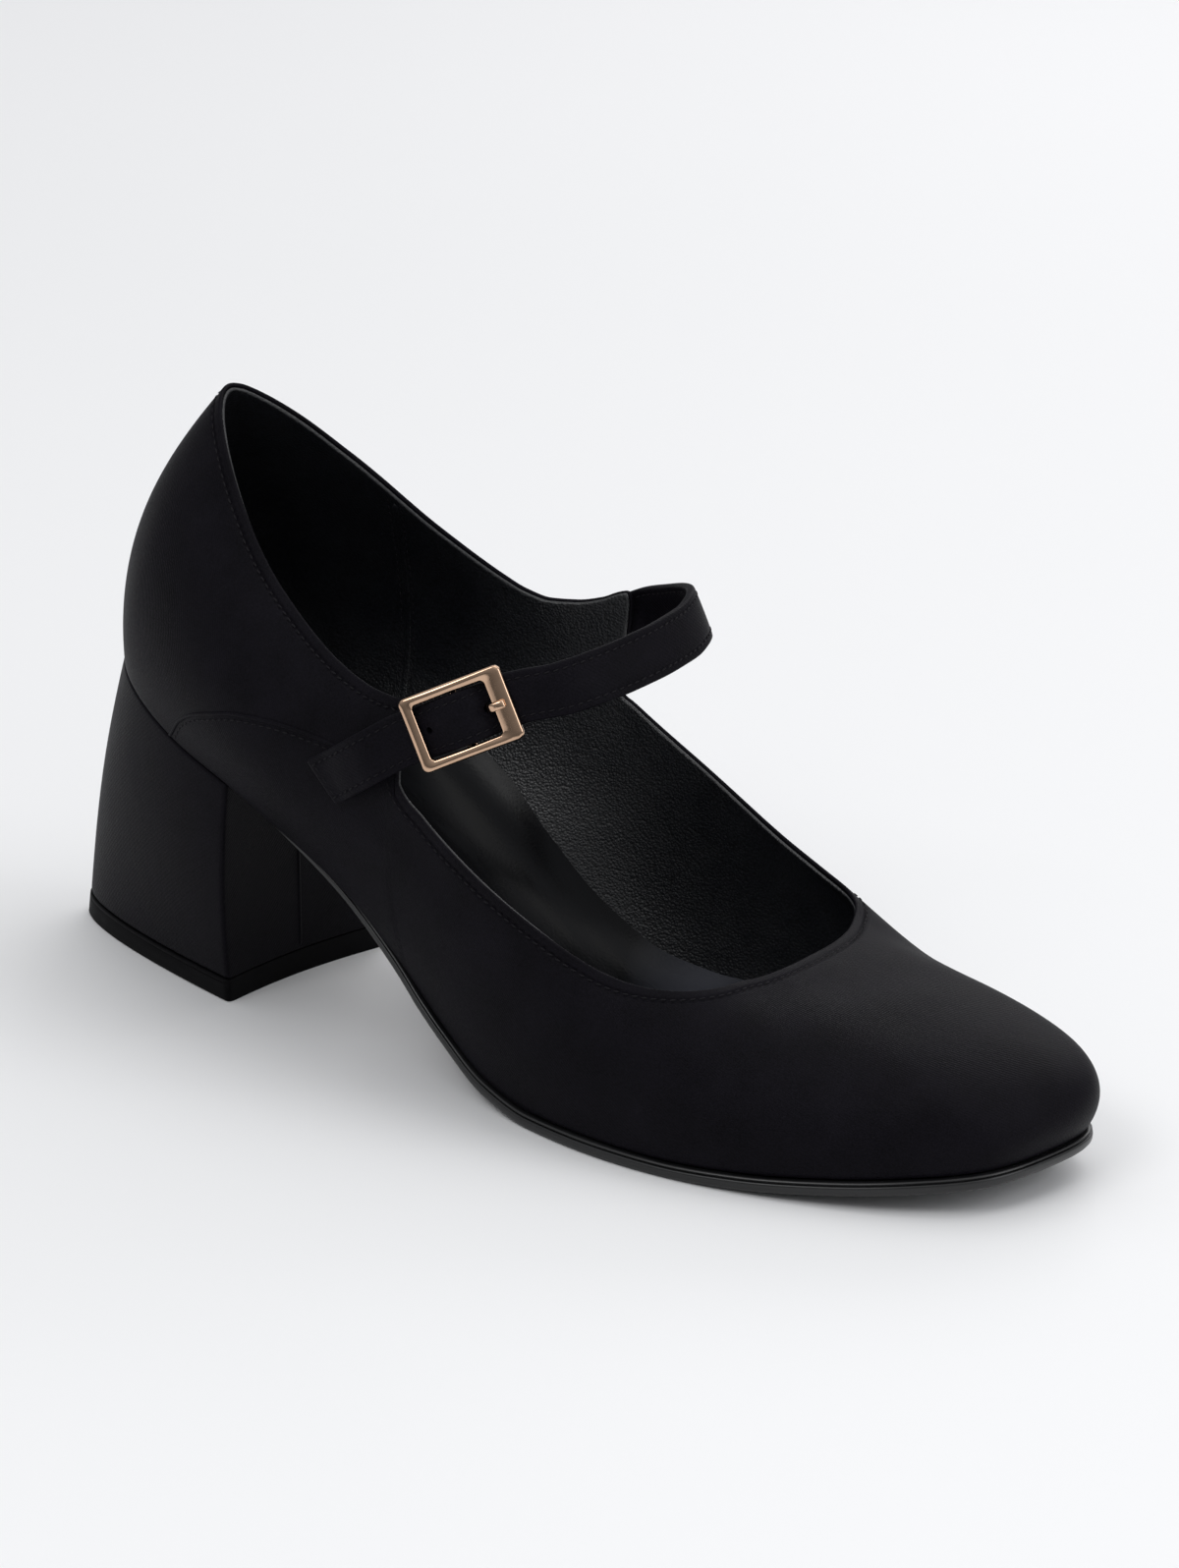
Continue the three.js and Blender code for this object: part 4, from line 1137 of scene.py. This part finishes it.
def band_profile(half_width, half_thickness, groove):
    """Section of a folded and stitched band: round edges, a slight crown, a dip under each stitch row."""
    outline = rounded_box(half_width, half_thickness, half_thickness * 0.72, 5, 30)
    w, t = outline[:, 0], outline[:, 1]
    dip = STRAP_DIP * np.exp(-((np.abs(w) - groove) / STRAP_DIP_WIDTH) ** 2)
    crown = STRAP_CROWN * (1 - (w / half_width) ** 2)
    face = np.sign(t) * (np.abs(t) > half_thickness * 0.9)
    return np.stack([w, t + face * (crown - dip - STRAP_CROWN)], 1)


def square_end(line, radius, width, thickness):
    """Scale of a band's width and thickness that rounds its free end."""
    to_end = lengths(line)
    bend = lambda r: r - np.sqrt(np.clip(r * r - (r - np.clip(to_end, 0, r)) ** 2, 0, None))
    wide = 1 - bend(radius) / (width / 2)
    thick = 1 - bend(thickness / 2) / (thickness / 2) * 0.85
    return np.stack([wide, thick], 1)


def skived(path):
    """Share of its thickness that the strap keeps: it is pared thin where it is sewn to the ear."""
    run = lengths(path)
    return mix(1.0, SKIVED_SHARE, smooth((run - run[-1] + SKIVE_LENGTH) / SKIVE_LENGTH))


def end_slant(line, k, place):
    """How far places across the strap move along it, because its free end is cut at a slant."""
    run = lengths(line)
    along_line = unit(line[min(k + 1, len(line) - 1)] - line[max(k - 1, 0)])
    reach = STRAP_SLANT * (np.asarray(place) + 1) * (1 - smooth(run[k] / SLANT_LENGTH))
    return np.outer(reach, along_line)


class PUMP_OT_strap(bpy.types.Operator):
    """Make the instep strap with its punched holes, and the keeper tab that holds the buckle"""
    bl_idname = f"{PREFIX}.strap"
    bl_label = "Strap and keeper tab"

    def execute(self, context):
        sizes, finish = context.scene.pump_sizes, context.scene.pump_finish
        width, thickness = sizes.strap_width / MM, sizes.strap_thickness / MM
        skin = quarter_skin()
        path = strap_path(width, thickness, skin)
        run = lengths(path)[-1]
        ends = np.concatenate([np.linspace(0, 2, 14, endpoint=False), np.linspace(2, run - 1, 330), [run]])
        path = at_lengths(path, ends)
        line, out = sagged(path), to_space(flat_sides(path))
        profile = band_profile(width / 2, thickness / 2, width / 2 - sizes.strap_inset / MM)
        scale = square_end(path, STRAP_CORNER, width, thickness)
        rings = []
        for k, ((w, t), kept) in enumerate(zip(scale, skived(path))):
            high = profile[:, 1] * t * kept - (1 - kept) * thickness / 2
            ring = line[k] + np.outer(profile[:, 0] * w, DOWN) + np.outer(high, out[k])
            rings.append(ring + end_slant(line, k, profile[:, 0] * w * 2 / width))
        strap = ring_mesh("instep_strap", rings)
        self.punch(strap, path)
        settle(strap, satin_material(finish), "strap_satin", "strap")
        self.tab(skin, finish)
        return {"FINISHED"}

    def punch(self, strap, path):
        """The round spare hole and the one the prong comes up through."""
        angles = np.linspace(0, 2 * math.pi, 20, endpoint=False)
        sides = flat_sides(path)
        centre = path - MIDDLE
        k = int(np.argmin(np.abs(centre @ ALONG - PUNCHED_HOLE) + np.abs(centre @ OFF) * 0.2))
        spots = (
            (in_space(path[k]), to_space(sides[k:k + 1])[0], SPARE_RADIUS),
            (buckle_space(PRONG_HOLE, 0, 0), OFF_SPACE, PRONG_HOLE_RADIUS),
        )
        for middle, axis, radius in spots:
            run = unit(np.cross(axis, DOWN))
            circle = (np.outer(np.cos(angles), run) + np.outer(np.sin(angles), DOWN)) * radius
            rings = [middle + axis * d + circle for d in (-PUNCH_REACH, PUNCH_REACH)]
            cut(strap, ring_mesh("punch", rings))

    def tab(self, skin, finish):
        """A folded tab that lies on the lateral ear and turns round the centre bar."""
        inner = BAR_RADIUS + GAP
        middle = inner + TAB_THICKNESS / 2
        floor = -BAR_DROP - middle
        stations = laid(TAB_LIE, -1, TAB_WIDTH, TAB_THICKNESS, skin)
        stations += [tuple(at_buckle(run, floor)) for run in (-8, -5, -2, 0)]
        loop = [
            at_buckle(middle * math.cos(a), -BAR_DROP + middle * math.sin(a))
            for a in np.radians(np.arange(-82, 206, 8))
        ]
        path = np.vstack([catmull(stations), loop])
        path = resample(path, 180)
        out = to_space(flat_sides(path))
        side = np.tile(DOWN, (len(path), 1))
        profile = rounded_box(TAB_WIDTH / 2, TAB_THICKNESS / 2, TAB_THICKNESS * 0.42, 3, 8)
        tab = sweep("keeper_tab", in_space(path), side, out, profile)
        reach = middle + 1
        low, high = floor - 1, floor + 2 * reach
        corners = ((-reach, low), (reach, low), (reach, high), (-reach, high))
        half = PRONG_WIDTH / 2 + GAP
        rings = [[buckle_space(run, s, o) for run, o in corners] for s in (-half, half)]
        cut(tab, ring_mesh("notch", rings))
        settle(tab, satin_material(finish), "strap_satin", "buckle_tab")


# ------------------------------------------------------------------ buckle
class PUMP_OT_buckle(bpy.types.Operator):
    """Make the buckle's bevelled frame with lugs and centre bar, and its prong"""
    bl_idname = f"{PREFIX}.buckle"
    bl_label = "Buckle"

    def execute(self, context):
        metal = plating_material(context.scene.pump_finish)
        settle(self.rim(), metal, "buckle", "buckle_frame")
        window = FRAME_WIDTH / 2 - SIDE_BAR
        a = np.linspace(0, 2 * math.pi, 24, endpoint=False)
        run, out = BAR_RADIUS * np.cos(a), -BAR_DROP + BAR_RADIUS * np.sin(a)
        bar = [buckle_space(run, s, out) for s in np.linspace(-window - BAR_REACH, window + BAR_REACH, 12)]
        settle(ring_mesh("centre_bar", bar), metal, "buckle")
        for name, sign in (("lug_upper", -1), ("lug_lower", 1)):
            settle(self.lug(name, sign, window), metal, "buckle")
        settle(self.prong(), metal, "buckle", "buckle_prong")
        return {"FINISHED"}

    def outline(self, x0, x1, half, radius):
        box = rounded_box((x1 - x0) / 2, half, radius, 8, 14)
        return box + np.array([(x0 + x1) / 2, 0])

    def rim(self):
        outer = self.outline(-FRAME_LENGTH / 2, FRAME_LENGTH / 2, FRAME_WIDTH / 2, FRAME_CORNER)
        x0, x1 = -FRAME_LENGTH / 2 + REAR_BAR, FRAME_LENGTH / 2 - ENTRY_BAR
        inner = self.outline(x0, x1, FRAME_WIDTH / 2 - SIDE_BAR, WINDOW_CORNER)
        inward = unit(inner - outer)
        high = FRAME_THICKNESS / 2
        section = (
            # from the outer edge, height
            (0.0, -0.5), (0.0, 0.2), (0.05, 0.42), (0.16, 0.62), (0.32, 0.77), (0.52, 0.86), (0.74, high),
        )
        back = (
            # from the inner edge, height
            (0.52, high - 0.02), (0.34, 0.82), (0.18, 0.70), (0.06, 0.50), (0.0, 0.25), (0.0, -0.55),
            (0.08, -0.75), (0.3, -high),
        )
        rings = [buckle_space(*(outer + inward * d).T, h) for d, h in section]
        rings += [buckle_space(*(inner - inward * d).T, h) for d, h in back]
        rings += [buckle_space(*(outer + inward * d).T, h) for d, h in ((0.3, -high), (0.08, -0.72))]
        return ring_mesh("buckle_rim", rings, looped=True)

    def lug(self, name, sign, window):
        box = rounded_box(LUG_LENGTH / 2, (BAR_DROP + BAR_RADIUS - 0.3) / 2, 0.25, 3, 2)
        middle = -(BAR_DROP + BAR_RADIUS + 0.3) / 2
        steps = ((window - 0.18, 0.8), (window - 0.05, 1.0), (window + 1.1, 1.0), (window + 1.3, 0.85))
        rings = [buckle_space(box[:, 0] * k, sign * s, middle + box[:, 1] * k) for s, k in steps]
        return ring_mesh(name, rings)

    def prong(self):
        """A flattened wire that runs round the centre bar, up through the strap and on to the entry bar."""
        eye = BAR_RADIUS + GAP + PRONG_EYE_WALL / 2
        rest = FRAME_THICKNESS / 2 + 0.15 + PRONG_THICKNESS / 2
        angles = np.radians(np.arange(*PRONG_EYE_TURN))
        loop = [(eye * math.cos(a), -BAR_DROP + eye * math.sin(a)) for a in angles]
        under = -BAR_DROP - 0.75
        arm = catmull([
            loop[-1], (2.2, under + 0.15), (3.6, under), (4.7, under + 0.25),
            (PRONG_HOLE - 0.1, -1.6), (PRONG_HOLE + 0.1, 0.2), (PRONG_HOLE + 0.75, rest - 0.25),
            (PRONG_HOLE + 1.7, rest), (PRONG_TIP - 0.5, rest), (PRONG_TIP, rest - 0.06),
        ], 14)
        path = resample(np.vstack([loop[:-1], arm]), 170)
        run = unit(np.gradient(path, axis=0))
        normal = np.stack([-run[:, 1], run[:, 0]], 1)
        thick = mix(PRONG_EYE_WALL, PRONG_THICKNESS, smooth(np.linspace(-1.0, 1.0, len(path)) * 1.6))
        tip = taper_ends(path, 0.9)[:, 0]
        profile = rounded_box(0.5, 0.5, 0.3, 4, 3)
        rings = []
        for p, n, t, k in zip(path, normal, thick, tip):
            side = profile[:, 0] * PRONG_WIDTH * mix(0.75, 1.0, k)
            spot = p + np.outer(profile[:, 1] * t * k, n)
            rings.append(buckle_space(spot[:, 0], side, spot[:, 1]))
        return ring_mesh("prong", rings)


# ------------------------------------------------------------------ stitches
def stitch_tree():
    """Node tree that lays short thread stitches along a line."""
    tree = bpy.data.node_groups.new("Stitch row", "GeometryNodeTree")
    sockets = (
        ("Line", "NodeSocketGeometry", "INPUT"), ("Pitch", "NodeSocketFloat", "INPUT"),
        ("Length", "NodeSocketFloat", "INPUT"), ("Width", "NodeSocketFloat", "INPUT"),
        ("Seed", "NodeSocketInt", "INPUT"), ("Thread", "NodeSocketMaterial", "INPUT"),
        ("Stitches", "NodeSocketGeometry", "OUTPUT"),
    )
    for name, kind, way in sockets:
        tree.interface.new_socket(name, in_out=way, socket_type=kind)

    def add(kind, **settings):
        node = tree.nodes.new(kind)
        for key, value in settings.items():
            setattr(node, key, value)
        return node

    source, end = add("NodeGroupInput"), add("NodeGroupOutput")
    curve = add("GeometryNodeMeshToCurve")
    spaced = add("GeometryNodeResampleCurve", mode="LENGTH")
    ball = add("GeometryNodeMeshUVSphere")
    ball.inputs["Segments"].default_value = 8
    ball.inputs["Rings"].default_value = 6
    ball.inputs["Radius"].default_value = 0.5
    size = add("ShaderNodeCombineXYZ")
    flat = add("ShaderNodeMath", operation="MULTIPLY")
    flat.inputs[1].default_value = 0.8
    stitch = add("GeometryNodeTransform")
    tangent = add("GeometryNodeInputTangent")
    lengthwise = add("FunctionNodeAlignRotationToVector", axis="X")
    skin = add("GeometryNodeInputNamedAttribute", data_type="FLOAT_VECTOR")
    skin.inputs["Name"].default_value = "skin"
    upright = add("FunctionNodeAlignRotationToVector", axis="Z", pivot_axis="X")
    lean = add("FunctionNodeRandomValue", data_type="FLOAT")
    lean.inputs[2].default_value = math.radians(2)
    lean.inputs[3].default_value = math.radians(11)
    tilt = add("ShaderNodeCombineXYZ")
    turned = add("FunctionNodeRotateRotation", rotation_space="LOCAL")
    laid_out = add("GeometryNodeInstanceOnPoints")
    real = add("GeometryNodeRealizeInstances")
    finish = add("GeometryNodeSetMaterial")
    joins = (
        (source, "Line", curve, "Mesh"), (curve, "Curve", spaced, "Curve"),
        (source, "Pitch", spaced, "Length"), (source, "Length", size, "X"),
        (source, "Width", size, "Y"), (source, "Width", flat, 0), (flat, "Value", size, "Z"),
        (ball, "Mesh", stitch, "Geometry"), (size, "Vector", stitch, "Scale"),
        (tangent, "Tangent", lengthwise, "Vector"), (lengthwise, "Rotation", upright, "Rotation"),
        (skin, "Attribute", upright, "Vector"), (source, "Seed", lean, "Seed"), (lean, 1, tilt, "Z"),
        (upright, "Rotation", turned, "Rotation"), (tilt, "Vector", turned, "Rotate By"),
        (spaced, "Curve", laid_out, "Points"), (stitch, "Geometry", laid_out, "Instance"),
        (turned, "Rotation", laid_out, "Rotation"), (laid_out, "Instances", real, "Geometry"),
        (real, "Geometry", finish, "Geometry"), (source, "Thread", finish, "Material"),
        (finish, "Geometry", end, "Stitches"),
    )
    for giver, output, taker, socket in joins:
        tree.links.new(giver.outputs[output], taker.inputs[socket])
    return tree


def stitch_row(name, tree, lines, sizes, material):
    """Stitches along one or more lines, each given as points and surface normals in millimetres."""
    points, normals, edges = [], [], []
    for line, normal in lines:
        first = len(points)
        points += ((line + SHIFT) * MM).tolist()
        normals += normal.tolist()
        edges += [(first + k, first + k + 1) for k in range(len(line) - 1)]
    mesh = bpy.data.meshes.new(name)
    mesh.from_pydata(points, edges, [])
    layer = mesh.attributes.new("skin", "FLOAT_VECTOR", "POINT")
    layer.data.foreach_set("vector", np.array(normals, float).ravel())
    row = add_object(name, mesh)
    modifier = row.modifiers.new("stitches", "NODES")
    modifier.node_group = tree
    values = {
        "Pitch": sizes.stitch_pitch, "Length": sizes.stitch_length, "Width": sizes.stitch_width,
        "Seed": sizes.seed, "Thread": material,
    }
    for item in tree.interface.items_tree:
        if item.in_out == "INPUT" and item.name in values:
            modifier[item.identifier] = values[item.name]
    bake(row)
    row.data.polygons.foreach_set("use_smooth", [True] * len(row.data.polygons))
    settle(row, material, "thread")


def inset_topline(inset):
    """The topline moved down the outside by an inset, without the loops that would form at corners."""
    turns = turn_stations()
    line, normal, off = top_edge(turns)
    moved = line - off * inset
    away = np.linalg.norm(moved[:, None] - line[None], axis=2).min(1)
    keep = away > inset * 0.93
    moved, normal = moved[keep], normal[keep]
    return np.vstack([moved, moved[:1]]), np.vstack([normal, normal[:1]])


def lining_seam():
    """A seam up the medial lining behind the strap."""
    (first, low), (last, high) = LINING_SEAM
    turns = mix(first, last, np.linspace(0, 1, 60))
    share = np.linspace(low, high, 60) * top_share(turns)
    normal = skin_normal(turns, share)
    return last_point(turns, share) - normal * (WALL + THREAD_LIFT), -normal


class PUMP_OT_stitches(bpy.types.Operator):
    """Lay the stitch rows of the topline, the quarter seams, the strap and the lining seam"""
    bl_idname = f"{PREFIX}.stitches"
    bl_label = "Stitches"

    def execute(self, context):
        sizes, finish = context.scene.pump_sizes, context.scene.pump_finish
        tree, thread = stitch_tree(), thread_material(finish)
        lines = [inset_topline(sizes.topline_inset / MM)]
        stitch_row("topline_stitches", tree, lines, sizes, thread)
        lines = []
        inset = sizes.seam_inset / MM
        for start, end in SEAM_STITCH_SPANS:
            line, normal = seam_line(np.linspace(start, end, 120))
            below = unit(np.cross(normal, np.gradient(line, axis=0)))
            below *= np.sign(-below[:, 2:3])
            lines.append((line + below * inset + normal * THREAD_LIFT, normal))
        stitch_row("quarter_stitches", tree, lines, sizes, thread)
        line, normal = lining_seam()
        ridge = laid_tube("lining_seam_ridge", line, normal, SEAM_RIDGE_HALF_WIDTH, SEAM_RIDGE_HALF_HEIGHT)
        settle(ridge, lining_material(finish), "lining")
        side = unit(np.cross(normal, np.gradient(line, axis=0)))
        lift = normal * SEAM_RIDGE_HALF_HEIGHT
        lines = [(line + side * d + lift, normal) for d in (-SEAM_ROW, SEAM_ROW)]
        stitch_row("lining_stitches", tree, lines, sizes, thread)
        self.strap_rows(sizes, tree, thread)
        return {"FINISHED"}

    def strap_rows(self, sizes, tree, thread):
        """Rows along both edges and faces of the strap, across its sewn end and across its free end."""
        width, thickness = sizes.strap_width / MM, sizes.strap_thickness / MM
        inset = sizes.strap_inset / MM
        path = resample(strap_path(width, thickness, quarter_skin()), 600)
        run = lengths(path)
        keep = (run > inset) & (run < run[-1] - 0.5)
        full, sides = sagged(path), to_space(flat_sides(path))
        line, out, kept = full[keep], sides[keep], skived(path)[keep]
        reach = width / 2 - inset
        first = int(np.argmax(keep))
        lines = []
        tops = ((kept - 0.5) * thickness - STRAP_THREAD_SINK)[:, None]
        for face, high in ((1, tops), (-1, STRAP_THREAD_SINK - thickness / 2)):
            for down in (-reach, reach):
                slant = np.vstack([end_slant(full, first + k, [down * 2 / width]) for k in range(len(line))])
                lines.append((line + DOWN * down + out * high + slant, out * face))
        for back in (SEWN_ROW, SEWN_ROW + SEWN_BOX):
            k = int(np.argmin(np.abs(run[keep] - run[-1] + back)))
            row = line[k] + out[k] * tops[k] + np.outer(np.linspace(-reach, reach, 12), DOWN)
            lines.append((row, np.tile(out[k], (len(row), 1))))
        across = np.linspace(-reach + 1.2, reach - 1.2, 12)
        end = line[0] + np.outer(across, DOWN) + out[0] * (thickness / 2 - 0.03)
        end += end_slant(full, first, across * 2 / width)
        lines.append((end, np.tile(out[0], (len(end), 1))))
        stitch_row("strap_stitches", tree, lines, sizes, thread)


# ------------------------------------------------------------------ stage
CAMERA_PLACE = np.array([796.5, -981.2, 478.1])
CAMERA_AXIS = np.array([-0.5173, 0.8024, -0.29759])
CAMERA_ROLL = math.radians(3.7195)
AIM = np.array([-0.53644, 0.77593, -0.33191])  # towards the middle of the shoe
LENS = 147.0
FILM = 36.0
FLOOR_HALF = 4.0  # metres


def add_area(name, place, target, size, power, colour):
    light = bpy.data.lights.new(name, "AREA")
    light.shape = "RECTANGLE"
    light.size, light.size_y = size
    light.energy = power
    light.color = colour
    lamp = add_object(name, light)
    lamp.location = place
    direction = Vector(target) - Vector(place)
    lamp.rotation_euler = direction.to_track_quat("-Z", "Y").to_euler()


class PUMP_OT_stage(bpy.types.Operator):
    """Set up the pale floor, the soft studio light and the camera"""
    bl_idname = f"{PREFIX}.stage"
    bl_label = "Stage"

    def execute(self, context):
        scene = context.scene
        self.camera(scene)
        mesh = bpy.data.meshes.new("floor")
        corners = [(x * FLOOR_HALF, y * FLOOR_HALF, 0) for x, y in ((-1, -1), (1, -1), (1, 1), (-1, 1))]
        mesh.from_pydata(corners, [], [(0, 1, 2, 3)])
        floor = add_object("floor", mesh)
        mesh.materials.append(floor_material(scene.pump_finish))
        world = bpy.data.worlds.new("Studio")
        world.use_nodes = True
        sky = world.node_tree.nodes["Background"]
        sky.inputs["Color"].default_value = (0.96, 0.975, 1.0, 1.0)
        nodes, links = world.node_tree.nodes, world.node_tree.links
        split = nodes.new("ShaderNodeSeparateXYZ")
        links.new(nodes.new("ShaderNodeTexCoord").outputs["Generated"], split.inputs["Vector"])
        fade = nodes.new("ShaderNodeMapRange")
        links.new(split.outputs["Z"], fade.inputs["Value"])
        for name, value in (("From Min", 0.0), ("From Max", 0.75), ("To Min", 0.15), ("To Max", 0.74)):
            fade.inputs[name].default_value = value
        links.new(fade.outputs["Result"], sky.inputs["Strength"])
        scene.world = world
        scene.view_settings.view_transform = "Standard"
        for light in LIGHTS:
            add_area(*light)
        return {"FINISHED"}

    def camera(self, scene):
        right = unit(np.cross(CAMERA_AXIS, np.array([0, 0, 1.0])))
        up = np.cross(right, CAMERA_AXIS)
        tilted = right * math.cos(CAMERA_ROLL) + up * math.sin(CAMERA_ROLL)
        back = -unit(AIM)
        x = unit(tilted - back * (tilted @ back))
        y = np.cross(back, x)
        data = bpy.data.cameras.new("camera")
        data.lens = LENS
        data.sensor_width = FILM
        data.clip_end = 20.0
        camera = add_object("camera", data)
        place = (CAMERA_PLACE + SHIFT) * MM
        camera.matrix_world = Matrix((
            (x[0], y[0], back[0], place[0]), (x[1], y[1], back[1], place[1]),
            (x[2], y[2], back[2], place[2]), (0, 0, 0, 1),
        ))
        scene.camera = camera


class PUMP_PT_panel(bpy.types.Panel):
    """Lists the steps that build the shoe, with its sizes and finishes"""
    bl_label = "Satin pump"
    bl_idname = "PUMP_PT_panel"
    bl_space_type = "VIEW_3D"
    bl_region_type = "UI"
    bl_category = "Shoe"

    def draw(self, context):
        for operator in OPERATORS:
            self.layout.operator(operator.bl_idname)
        for group in (context.scene.pump_sizes, context.scene.pump_finish):
            column = self.layout.column()
            for name in group.bl_rna.properties.keys():
                if name not in ("rna_type", "name"):
                    column.prop(group, name)


OPERATORS = (
    PUMP_OT_stage, PUMP_OT_upper, PUMP_OT_bottom, PUMP_OT_heel, PUMP_OT_strap, PUMP_OT_buckle,
    PUMP_OT_stitches,
)
CLASSES = (PUMP_PG_sizes, PUMP_PG_finish, *OPERATORS, PUMP_PT_panel)


def register():
    for cls in CLASSES:
        bpy.utils.register_class(cls)
    bpy.types.Scene.pump_sizes = PointerProperty(type=PUMP_PG_sizes)
    bpy.types.Scene.pump_finish = PointerProperty(type=PUMP_PG_finish)


def unregister():
    del bpy.types.Scene.pump_finish
    del bpy.types.Scene.pump_sizes
    for cls in reversed(CLASSES):
        bpy.utils.unregister_class(cls)


def main():
    register()
    for operator in OPERATORS:
        group, name = operator.bl_idname.split(".")
        getattr(getattr(bpy.ops, group), name)()


if __name__ == "__main__":
    main()
